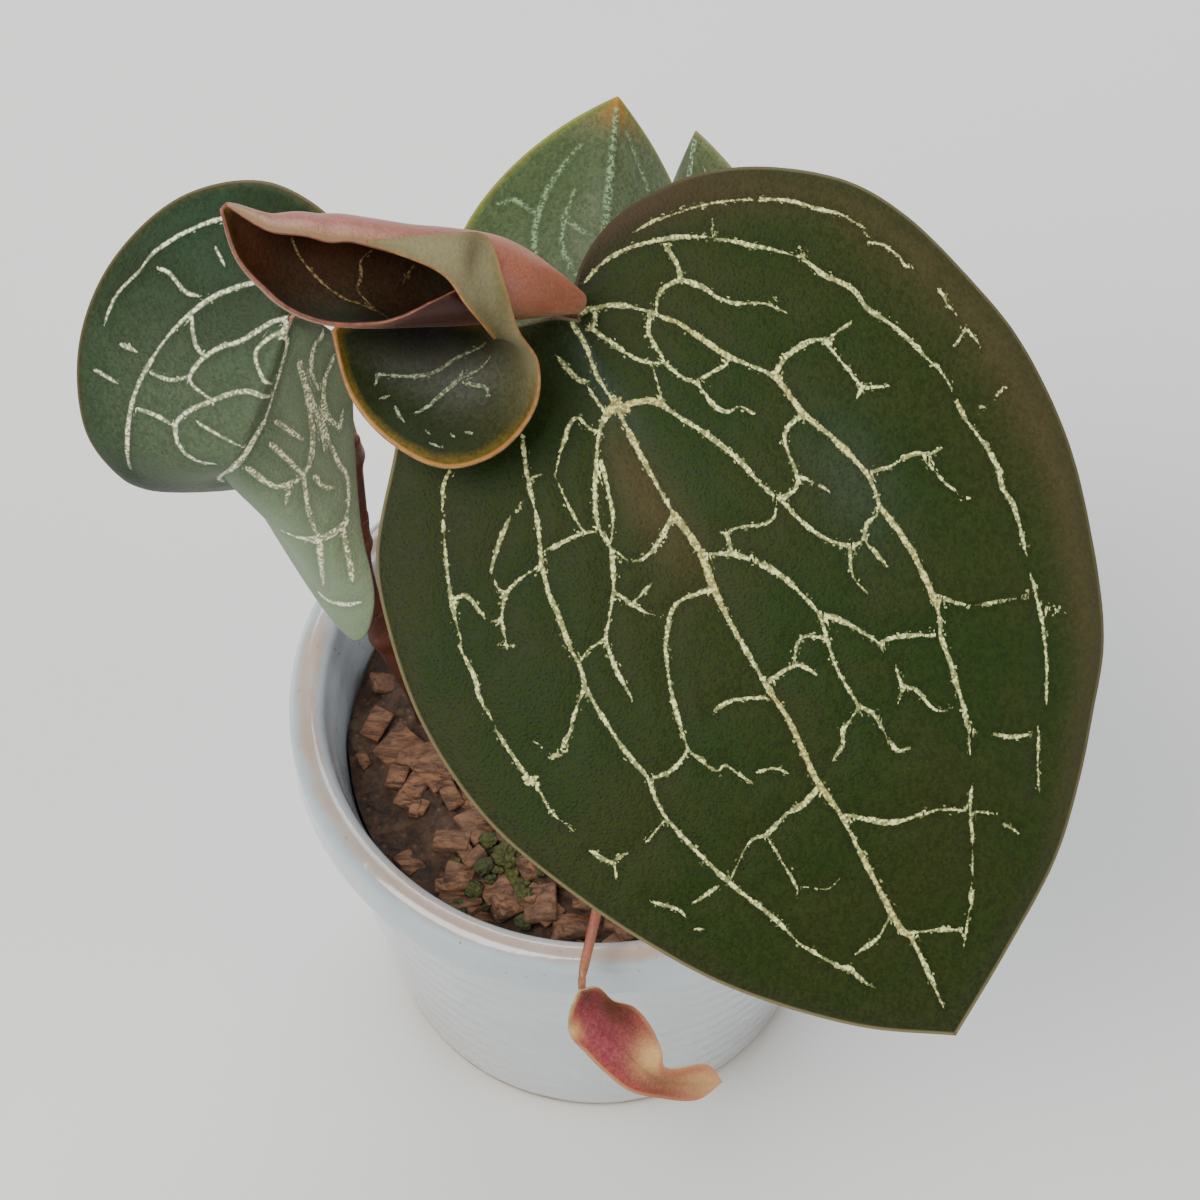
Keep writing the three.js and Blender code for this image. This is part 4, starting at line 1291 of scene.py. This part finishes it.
class ORCHID_OT_young_leaf(bpy.types.Operator):
    """Add the young leaf, still rolled, with the lobe that folds out of it"""

    bl_idname = "orchid.young_leaf"
    bl_label = "Young leaf"

    def execute(self, context):
        inside = leaf_skin(
            "leaf_young_inside",
            blade=tone(46, 24, 6),
            patch=tone(66, 34, 10),
            vein=tone(150, 116, 76),
            margin=tone(84, 62, 22),
            rim=tone(120, 74, 50),
            flush_and_sheen=tone(64, 72, 58),
            sheen_and_shade=tone(40, 22, 8),
            margin_width=0.8,
            rim_width=0.3,
            ragged=0.25,
            vein_strength=0.75,
            relief=0.3,
        )
        outside = leaf_skin(
            "leaf_young_outside",
            blade=tone(152, 92, 76),
            patch=tone(142, 84, 64),
            vein=tone(176, 116, 90),
            margin=tone(150, 112, 82),
            rim=tone(134, 104, 72),
            flush_and_sheen=tone(156, 92, 60),
            # Dark maroon: painted shade of the underside where the rest of the leaf shades it.
            sheen_and_shade=tone(62, 22, 12),
            margin_width=1.3,
            rim_width=0.6,
            vein_strength=0.0,
            grain=6.0,
            relief=0.2,
            roughness=0.42,
            gloss=0.4,
            glow=0.35,
        )
        rim = rim_skin("rim_peach", tone(168, 120, 72))
        lip = rim_skin("rim_lip", tone(138, 82, 64))
        roll = build_leaf(
            "leaf_young_roll",
            YOUNG_ROLL,
            (130, 130),
            ROLL_VEINS,
            [outside, inside, lip],
            flush_and_sheen=((0.0, 0.2, 0.9, 0.25, 0.8), (0.8, 0.62, 0.4, 0.14, 0.9)),
            # Painted shade: the underside below the lip turns dark red where the flap and the lobe shade it.
            shade_and_brown=((0.74, 0.42, 0.65, 0.17, 0.94), (0.85, 0.56, 0.3, 0.12, 0.5)),
            swell=0.3,
        )
        stands_for(roll, "leaf_young")
        lobe_upper = leaf_skin(
            "leaf_young_lobe",
            blade=tone(30, 40, 12),
            patch=tone(36, 40, 14),
            vein=tone(150, 152, 118),
            margin=tone(92, 76, 26),
            rim=tone(160, 112, 54),
            # Beige painted sheen of the flap, seen at a grazing angle.
            flush_and_sheen=tone(128, 120, 88),
            # Blue-grey painted reflection near the neck.
            sheen_and_shade=tone(78, 80, 70),
            margin_width=1.1,
            rim_width=0.32,
            ragged=0.25,
            vein_strength=0.8,
            relief=0.35,
            gloss=0.1,
            glow=0.1,
        )
        lobe = build_leaf(
            "leaf_young_lobe",
            YOUNG_LOBE,
            (70, 160),
            LOBE_VEINS,
            [lobe_upper, outside, rim],
            # Painted sheen over the flap and over the outer wall by the neck.
            flush_and_sheen=((0.0, 0.1, 3.0, 0.3, 1.0), (0.9, 0.44, 0.9, 0.12, 0.7)),
            # Painted blue-grey reflection near the neck.
            sheen_and_shade=((-0.05, 0.62, 0.35, 0.09, 0.9), (-0.3, 0.74, 0.3, 0.12, 0.5)),
            # Painted shadow of the roll's lip along the inner edge, and a narrow painted shade across the
            # flap's top.
            shade_and_brown=((-0.82, 0.7, 0.45, 0.2, 1.0), (0.35, 0.155, 0.9, 0.022, 0.5)),
            flip=True,
            swell=0.3,
        )
        stands_for(lobe, "leaf_young")
        build_stalk("leaf_young_stalk", YOUNG_STALK, pink_stalk_skin(), "leaf_young")
        return {"FINISHED"}


class ORCHID_OT_withered_leaf(bpy.types.Operator):
    """Add the small dried leaf on its long stalk"""

    bl_idname = "orchid.withered_leaf"
    bl_label = "Withered leaf"

    def execute(self, context):
        dry = leaf_skin(
            "leaf_withered_skin",
            blade=tone(140, 56, 66),
            patch=tone(156, 76, 84),
            vein=tone(176, 110, 100),
            margin=tone(150, 74, 66),
            rim=tone(176, 128, 92),
            flush_and_sheen=tone(204, 166, 110),
            # Dark brown for the painted shadow inside the curled upper margin.
            sheen_and_shade=tone(78, 44, 30),
            margin_width=0.9,
            vein_strength=0.12,
            grain=6.0,
            relief=0.3,
            roughness=0.7,
            sheen=0.15,
            patch_size=3.0,
            glow=0.1,
        )
        leaf = build_leaf(
            "leaf_withered_blade",
            WITHERED_LEAF,
            (60, 90),
            ((0.25, (0, 20), (0, 980)), (0.2, (300, 100), (520, 500), (300, 900))),
            [dry, dry, rim_skin("rim_straw", tone(176, 168, 108))],
            flush_and_sheen=((-0.6, 0.62, 0.85, 0.11, 1.0), (0.0, 1.0, 2.0, 0.24, 1.0), (0.95, 0.23, 0.3, 0.07, 1.0)),
            # Painted shadow inside the curled upper margin; the base a little darker too.
            sheen_and_shade=((-0.85, 0.26, 0.7, 0.24, 1.0), (0.0, 0.03, 1.0, 0.08, 0.6)),
            shade_and_brown=((0.3, 0.76, 0.9, 0.1, 0.4),),
        )
        stands_for(leaf, "leaf_withered")
        skin = stalk_skin("stalk_rose", tone(140, 78, 64), tone(150, 100, 66))
        build_stalk("leaf_withered_stalk", WITHERED_STALK, skin, "leaf_withered", groove=0.1)
        return {"FINISHED"}


# ---- Pieces: stems ----


class ORCHID_OT_stems(bpy.types.Operator):
    """Add both stems with their rings and the dry sheaths round them"""

    bl_idname = "orchid.stems"
    bl_label = "Stems"

    def execute(self, context):
        colours = context.scene.orchid_colours
        skin = stalk_skin("stem_red_brown", colours.stem, tone(98, 54, 34))
        sheath_skin = stalk_skin("sheath_straw", tone(80, 42, 28), tone(104, 64, 42))
        stems = (
            ("stem_main", STEM_MAIN, 1.25, STEM_MAIN_RINGS),
            ("stem_side", STEM_SIDE, 1.05, STEM_SIDE_RINGS),
        )
        for name, path, radius, rings in stems:
            self.add_stem(name, path, radius, rings, skin)
            self.add_sheaths(name, path, radius, rings, sheath_skin)
        return {"FINISHED"}

    @staticmethod
    def add_stem(name, path, radius, rings, skin):
        """A tube that swells at each ring."""

        def radius_at(along):
            swelling = sum(0.3 * np.exp(-(((along - ring) / 0.022) ** 2)) for ring in rings)
            return radius + swelling

        bm = bmesh.new()
        tube(bm, path, radius_at, 260, 36)
        stands_for(keep_piece(f"{name}_skin", bm, [skin]), name)

    @staticmethod
    def add_sheaths(name, path, radius, rings, skin):
        """Each ring but the last carries the short sleeve that the leaf's stalk left round the stem."""
        curve = Curve(path)
        sheath_share = 3.4 / curve.lengths[-1]
        bm = bmesh.new()
        for ring in rings[:-1]:
            shares = np.linspace(ring, min(ring + sheath_share, 0.99), 8)
            sleeve = curve.at(curve.evenly(shares))
            tube(bm, sleeve, lambda along: radius + 0.1 + 0.12 * (1 - along) ** 4, 24, 30)
        stands_for(keep_piece(f"{name}_sheaths", bm, [skin]), name)


# ---- Pieces: pot and substrate ----

# In millimetres. A colony of moss is (x, y, width).
POT_HEIGHT = 44
RIM_RADIUS = 27
RIM_STEP = 1.6
RIM_BAND = 6
FOOT_RADIUS = 19.5
WALL = 2.6
SOIL_TOP = 38
GAP = 0.3
CHIP_SIZES = (1.6, 4.2)
TUFT_SIZES = (0.4, 0.95)
MOSS_COLONIES = ((9, -12, 6.5), (-8, -14, 5), (14, 7, 6), (-6, 13, 6.5), (2, 16, 4))


def wall_outside(z):
    """The radius of the pot's wall at a height below the rim band."""
    return FOOT_RADIUS + (RIM_RADIUS - RIM_STEP - FOOT_RADIUS) * z / (POT_HEIGHT - RIM_BAND)


def soil_radius(z):
    """The radius of the planting mix at a height, a small gap inside the wall."""
    return wall_outside(z) - WALL - GAP


def soil_height(x, y):
    """The uneven top of the planting mix."""
    mounds = 0.5 * math.sin(0.55 * x + 1.3) * math.cos(0.48 * y) + 0.3 * math.sin(1.1 * x - 0.9 * y)
    return SOIL_TOP + mounds - 0.004 * (x * x + y * y)


def turned(outline, steps, rounding=0.0):
    """A body turned from an outline of (radius, height), with its corners rounded."""
    bm = bmesh.new()
    profile = [bm.verts.new((radius * MM, 0, height * MM)) for radius, height in outline]
    for first, second in zip(profile, profile[1:]):
        bm.edges.new((first, second))
    if rounding:
        corners = profile[1:-1]
        bmesh.ops.bevel(
            bm, geom=corners, offset=rounding * MM, affect="VERTICES", segments=4, profile=0.5, material=-1
        )
    outline_parts = bm.verts[:] + bm.edges[:]
    bmesh.ops.spin(
        bm, geom=outline_parts, axis=(0, 0, 1), angle=2 * math.pi, steps=steps, use_merge=True
    )
    bmesh.ops.remove_doubles(bm, verts=bm.verts[:], dist=WELD)
    return bm


def glaze_skin():
    """Pale glaze that thins at the lip and stops above the bare foot."""
    colours = bpy.context.scene.orchid_colours
    material, w, shader = new_material("pot_glaze")
    place = w.place()
    height = w.node("ShaderNodeSeparateXYZ", {0: place}).outputs["Z"]
    wander = w.clouds(place, 0.16, 4.0, 0.5)
    patch = w.use(named_group("Mottle", mottle_group), Place=place, Size=14.0)["Patch"]
    deeper = shaded(colours.glaze, 0.82)
    colour = w.blend(w.maths("MULTIPLY", patch, 0.6), colours.glaze, deeper)
    speck = w.between(w.cells(place, 0.5), 0.05, 0.1, 1.0, 0.0)
    fine_speck = w.between(w.cells(place, 1.3), 0.06, 0.12, 0.6, 0.0)
    specks = w.maths("MAXIMUM", speck, fine_speck)
    colour = w.blend(w.maths("MULTIPLY", specks, 0.55), colour, tone(104, 92, 80))
    lip = w.between(w.maths("ADD", height, wander), 43.9, 44.6, 0.0, 0.75)
    # The wall below the rim band is a little deeper in tone than the band itself.
    below_rim_band = w.between(height, 37.4, 38.6, 0.3, 0.0)
    colour = w.blend(lip, colour, tone(168, 140, 112))
    colour = w.blend(below_rim_band, colour, deeper)
    bare = w.between(w.maths("ADD", height, w.maths("MULTIPLY", wander, 1.8)), 2.3, 2.7, 1.0, 0.0)
    clay = w.blend(w.clouds(place, 2.2, 4.0), tone(172, 148, 124), tone(148, 124, 100))
    colour = w.blend(bare, colour, clay)
    w.feed(shader["Base Color"], colour)
    w.feed(shader["Roughness"], w.mix(bare, w.between(wander, 0.3, 0.7, 0.1, 0.2), 0.8))
    w.feed(shader["Coat Weight"], w.mix(bare, 0.6, 0.0))
    rings = w.maths("SINE", w.maths("MULTIPLY", height, 2.1))
    relief = w.maths("ADD", w.maths("MULTIPLY", rings, 0.25), w.clouds(place, 0.6, 3.0))
    w.feed(shader["Normal"], w.bump(relief, 0.35, 0.0002))
    shader["Coat Roughness"].default_value = 0.06
    return material


class ORCHID_OT_pot(bpy.types.Operator):
    """Add the turned and glazed pot"""

    bl_idname = "orchid.pot"
    bl_label = "Pot"

    def execute(self, context):
        band, floor_top = POT_HEIGHT - RIM_BAND, 4.5
        outline = (
            (0, 0),
            (FOOT_RADIUS - 0.8, 0),
            (FOOT_RADIUS, 0.8),
            (wall_outside(band), band),
            (RIM_RADIUS, band + 0.8),
            (RIM_RADIUS, POT_HEIGHT - 0.9),
            (RIM_RADIUS - 0.9, POT_HEIGHT),
            (RIM_RADIUS - 2.2, POT_HEIGHT),
            (RIM_RADIUS - 3, POT_HEIGHT - 0.9),
            (wall_outside(band) - WALL, band),
            (wall_outside(floor_top) - WALL, floor_top),
            (0, floor_top),
        )
        bm = turned(outline, 144, rounding=0.5)
        bmesh.ops.recalc_face_normals(bm, faces=bm.faces[:])
        stands_for(keep_piece("pot_body", bm, [glaze_skin()]), "pot")
        return {"FINISHED"}


def soil_skin():
    """Crumbly dark litter under the bark."""
    material, w, shader = new_material("substrate_litter")
    place = w.place()
    crumbs = w.cells(place, 1.1)
    shade = w.clouds(place, 0.8, 6.0, 0.7)
    colour = w.blend(w.between(shade, 0.3, 0.7), tone(38, 26, 18), tone(82, 60, 42))
    colour = w.blend(w.between(crumbs, 0.05, 0.3, 0.6, 0.0), colour, tone(112, 84, 58))
    w.feed(shader["Base Color"], colour)
    w.feed(shader["Roughness"], w.between(shade, 0.2, 0.8, 0.75, 0.95))
    w.feed(shader["Normal"], w.bump(w.maths("ADD", crumbs, shade), 0.9, 0.0006))
    return material


def bark_skin():
    """Weathered bark: layers across the chip, cracks and pale cork."""
    material, w, shader = new_material("substrate_bark")
    place = w.place()
    layers = w.clouds(w.place((0.5, 1.7, 3.0)), 1.0, 5.0, 0.65, 0.6)
    cork = w.cells(place, 0.9)
    patch = w.use(named_group("Mottle", mottle_group), Place=place, Size=4.0)["Patch"]
    colour = w.blend(w.between(layers, 0.35, 0.68), tone(58, 36, 24), tone(132, 92, 60))
    colour = w.blend(w.maths("MULTIPLY", patch, 0.5), colour, tone(98, 70, 52))
    colour = w.blend(w.between(cork, 0.0, 0.16, 0.5, 0.0), colour, tone(30, 20, 14))
    w.feed(shader["Base Color"], colour)
    w.feed(shader["Roughness"], w.between(layers, 0.3, 0.7, 0.9, 0.7))
    w.feed(shader["Normal"], w.bump(w.maths("ADD", layers, w.maths("MULTIPLY", cork, 0.5)), 0.8, 0.0004))
    return material


def moss_skin():
    """Small cushions of moss."""
    material, w, shader = new_material("substrate_moss")
    place = w.place()
    leaves = w.cells(place, 2.6)
    patch = w.clouds(place, 0.35, 4.0, 0.6)
    colour = w.blend(w.between(patch, 0.35, 0.65), tone(70, 80, 30), tone(116, 118, 50))
    colour = w.blend(w.between(leaves, 0.0, 0.3, 0.0, 0.7), colour, tone(40, 44, 18))
    w.feed(shader["Base Color"], colour)
    w.feed(shader["Roughness"], w.between(leaves, 0.0, 0.4, 0.65, 0.9))
    w.feed(shader["Normal"], w.bump(leaves, 0.9, 0.0005))
    return material


class ORCHID_OT_substrate(bpy.types.Operator):
    """Add the litter, bark chips and moss that fill the pot"""

    bl_idname = "orchid.substrate"
    bl_label = "Substrate"

    def execute(self, context):
        sizes = context.scene.orchid_sizes
        picker = random.Random(11)
        for name, bm, skin in (
            ("substrate_litter", self.litter(), soil_skin()),
            ("substrate_bark", self.bark(picker, sizes.chips), bark_skin()),
            ("substrate_moss", self.moss(picker, sizes.tufts), moss_skin()),
        ):
            stands_for(keep_piece(name, bm, [skin]), "substrate")
        return {"FINISHED"}

    @staticmethod
    def litter():
        """A filled plug with an uneven top, a little inside the wall."""
        bottom, shoulder = 4.8, SOIL_TOP - 2.6
        outline = [(0, bottom), (soil_radius(bottom), bottom), (soil_radius(shoulder), shoulder)]
        edge = soil_radius(SOIL_TOP - 2)
        rings = 30
        outline += [(edge * (1 - ring / rings), SOIL_TOP) for ring in range(rings + 1)]
        bm = turned(outline, 96)
        for vert in bm.verts:
            if vert.co.z > (shoulder + 1) * MM:
                x, y = vert.co.x / MM, vert.co.y / MM
                lumps = 0.35 * noise.noise(Vector((x, y, 3.0)) * 0.9)
                crumbs = 0.2 * noise.noise(Vector((x, y, 9.0)) * 2.3)
                vert.co.z = (soil_height(x, y) - 0.8 + (lumps + crumbs)) * MM
        bmesh.ops.recalc_face_normals(bm, faces=bm.faces[:])
        return bm

    @staticmethod
    def spot(picker, margin):
        """A random place on the top of the litter, clear of both stems."""
        stems = (STEM_MAIN[0][:2], STEM_SIDE[1][:2])
        while True:
            radius = (soil_radius(SOIL_TOP - 2) - margin) * math.sqrt(picker.random())
            angle = picker.uniform(0, 2 * math.pi)
            x, y = radius * math.cos(angle), radius * math.sin(angle)
            nearest = min(math.hypot(x - stem_x, y - stem_y) for stem_x, stem_y in stems)
            if nearest > 2.4 + margin * 0.4:
                return x, y

    def bark(self, picker, count):
        """Bevelled chips of bark that lie flat or nearly so."""
        bm = bmesh.new()
        for _ in range(count):
            size = picker.uniform(*CHIP_SIZES)
            x, y = self.spot(picker, size * 0.62)
            chip = bmesh.ops.create_cube(bm, size=MM)["verts"]
            stretch = Vector((size, size * picker.uniform(0.45, 0.8), picker.uniform(0.5, 1.0)))
            bmesh.ops.scale(bm, verts=chip, vec=stretch)
            for vert in chip:
                vert.co += 0.22 * MM * noise.noise_vector(vert.co * 900 + Vector((x, y, 0)))
            edges = {edge for vert in chip for edge in vert.link_edges}
            bevelled = bmesh.ops.bevel(
                bm, geom=list(edges), offset=0.14 * MM, affect="EDGES", segments=1, profile=0.5, material=-1
            )
            chip = list(set(bevelled["verts"]))
            turn = Vector((picker.gauss(0, 0.22), picker.gauss(0, 0.22), picker.uniform(0, math.pi)))
            lift = soil_height(x, y) - 0.55 + picker.uniform(-0.25, 0.35)
            for axis, angle in zip("XYZ", turn):
                bmesh.ops.rotate(bm, verts=chip, cent=(0, 0, 0), matrix=Matrix.Rotation(angle, 3, axis))
            bmesh.ops.translate(bm, verts=chip, vec=Vector((x, y, lift)) * MM)
        return bm

    def moss(self, picker, count):
        """Low cushions in a few colonies between the chips."""
        bm = bmesh.new()
        for _ in range(count):
            cx, cy, wide = picker.choice(MOSS_COLONIES)
            x, y = cx + picker.gauss(0, wide / 2.4), cy + picker.gauss(0, wide / 2.4)
            size = picker.uniform(*TUFT_SIZES)
            if math.hypot(x, y) > soil_radius(SOIL_TOP - 2) - size - 0.4:
                continue
            tuft = bmesh.ops.create_icosphere(bm, subdivisions=2, radius=size * MM)["verts"]
            for vert in tuft:
                vert.co *= 1 + 0.6 * noise.noise(vert.co * 3400 + Vector((x, y, size)))
                vert.co.z *= 0.55
            bmesh.ops.translate(bm, verts=tuft, vec=Vector((x, y, soil_height(x, y) - 0.35)) * MM)
        return bm


# ---- Stage ----

CAMERA_PLACE = (0.0001764, -0.1750697, 0.3391081)
CAMERA_TILT = 32
CAMERA_LENS = 118.11


class ORCHID_OT_stage(bpy.types.Operator):
    """Add the camera, the soft lights and the pale floor"""

    bl_idname = "orchid.stage"
    bl_label = "Stage"

    def execute(self, context):
        scene = context.scene
        lens = bpy.data.cameras.new("camera")
        lens.sensor_width = 36
        lens.lens = CAMERA_LENS
        lens.clip_start = 0.01
        camera = bpy.data.objects.new("camera", lens)
        camera.location = CAMERA_PLACE
        camera.rotation_euler = (math.radians(CAMERA_TILT), 0, 0)
        scene.collection.objects.link(camera)
        scene.camera = camera

        self.softbox("key", (-0.28, -0.22, 0.62), (0.42, 0.42), 5.2, (1.0, 0.98, 0.94))
        self.softbox("sky", (0.02, 0.55, 0.5), (0.7, 0.4), 4.6, (0.88, 0.94, 1.0))
        self.softbox("fill", (0.5, -0.2, 0.32), (0.4, 0.4), 1.5, (1.0, 1.0, 1.0))
        world = bpy.data.worlds.new("studio")
        world.use_nodes = True
        world.node_tree.nodes["Background"].inputs["Color"].default_value = tone(236, 238, 242)
        world.node_tree.nodes["Background"].inputs["Strength"].default_value = 0.36
        scene.world = world
        self.floor(scene)
        return {"FINISHED"}

    @staticmethod
    def softbox(name, place, size, power, colour):
        """A rectangular lamp that looks at the middle of the plant."""
        lamp = bpy.data.lights.new(name, "AREA")
        lamp.shape = "RECTANGLE"
        lamp.size, lamp.size_y = size
        lamp.energy = power
        lamp.color = colour
        stand = bpy.data.objects.new(name, lamp)
        stand.location = place
        aim = Vector((0, 0, 0.075)) - Vector(place)
        stand.rotation_euler = aim.to_track_quat("-Z", "Y").to_euler()
        bpy.context.scene.collection.objects.link(stand)

    @staticmethod
    def floor(scene):
        """A wide pale square under the pot."""
        bm = bmesh.new()
        bmesh.ops.create_grid(bm, x_segments=1, y_segments=1, size=1.2)
        mesh = bpy.data.meshes.new("floor")
        bm.to_mesh(mesh)
        bm.free()
        floor = bpy.data.objects.new("floor", mesh)
        scene.collection.objects.link(floor)
        material, w, shader = new_material("floor_pale")
        grain = w.clouds(w.place(), 0.02, 4.0)
        pale = scene.orchid_colours.floor
        w.feed(shader["Base Color"], w.blend(grain, pale, shaded(pale, 0.97)))
        shader["Roughness"].default_value = 0.8
        mesh.materials.append(material)
        floor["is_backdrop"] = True


# ---- Panel and registration ----

STEPS = (
    ("orchid.stage", "Stage"),
    ("orchid.pot", "Pot"),
    ("orchid.substrate", "Substrate"),
    ("orchid.stems", "Stems"),
    ("orchid.large_leaf", "Large leaf"),
    ("orchid.left_leaf", "Folded leaf"),
    ("orchid.back_leaves", "Back leaves"),
    ("orchid.young_leaf", "Young leaf"),
    ("orchid.withered_leaf", "Withered leaf"),
)


class ORCHID_PT_panel(bpy.types.Panel):
    """Lists the sizes, the colours and the pieces of the plant"""

    bl_idname = "ORCHID_PT_panel"
    bl_label = "Jewel orchid"
    bl_space_type = "VIEW_3D"
    bl_region_type = "UI"
    bl_category = "Orchid"

    def draw(self, context):
        for group in (context.scene.orchid_sizes, context.scene.orchid_colours):
            box = self.layout.box()
            for name in group.__annotations__:
                box.prop(group, name)
        column = self.layout.column()
        for operator, label in STEPS:
            column.operator(operator, text=label)


CLASSES = (
    OrchidSizes,
    OrchidColours,
    ORCHID_OT_large_leaf,
    ORCHID_OT_left_leaf,
    ORCHID_OT_back_leaves,
    ORCHID_OT_young_leaf,
    ORCHID_OT_withered_leaf,
    ORCHID_OT_stems,
    ORCHID_OT_pot,
    ORCHID_OT_substrate,
    ORCHID_OT_stage,
    ORCHID_PT_panel,
)


def register():
    for each in CLASSES:
        bpy.utils.register_class(each)
    bpy.types.Scene.orchid_sizes = PointerProperty(type=OrchidSizes)
    bpy.types.Scene.orchid_colours = PointerProperty(type=OrchidColours)


def unregister():
    del bpy.types.Scene.orchid_colours
    del bpy.types.Scene.orchid_sizes
    for each in reversed(CLASSES):
        bpy.utils.unregister_class(each)


def main():
    register()
    for operator, _ in STEPS:
        area, name = operator.split(".")
        getattr(getattr(bpy.ops, area), name)()
    sizes = {"cad": CAD_BOX, "visual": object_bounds()}
    plain = {key: [[float(part) for part in corner] for corner in box] for key, box in sizes.items()}


if __name__ == "__main__":
    main()
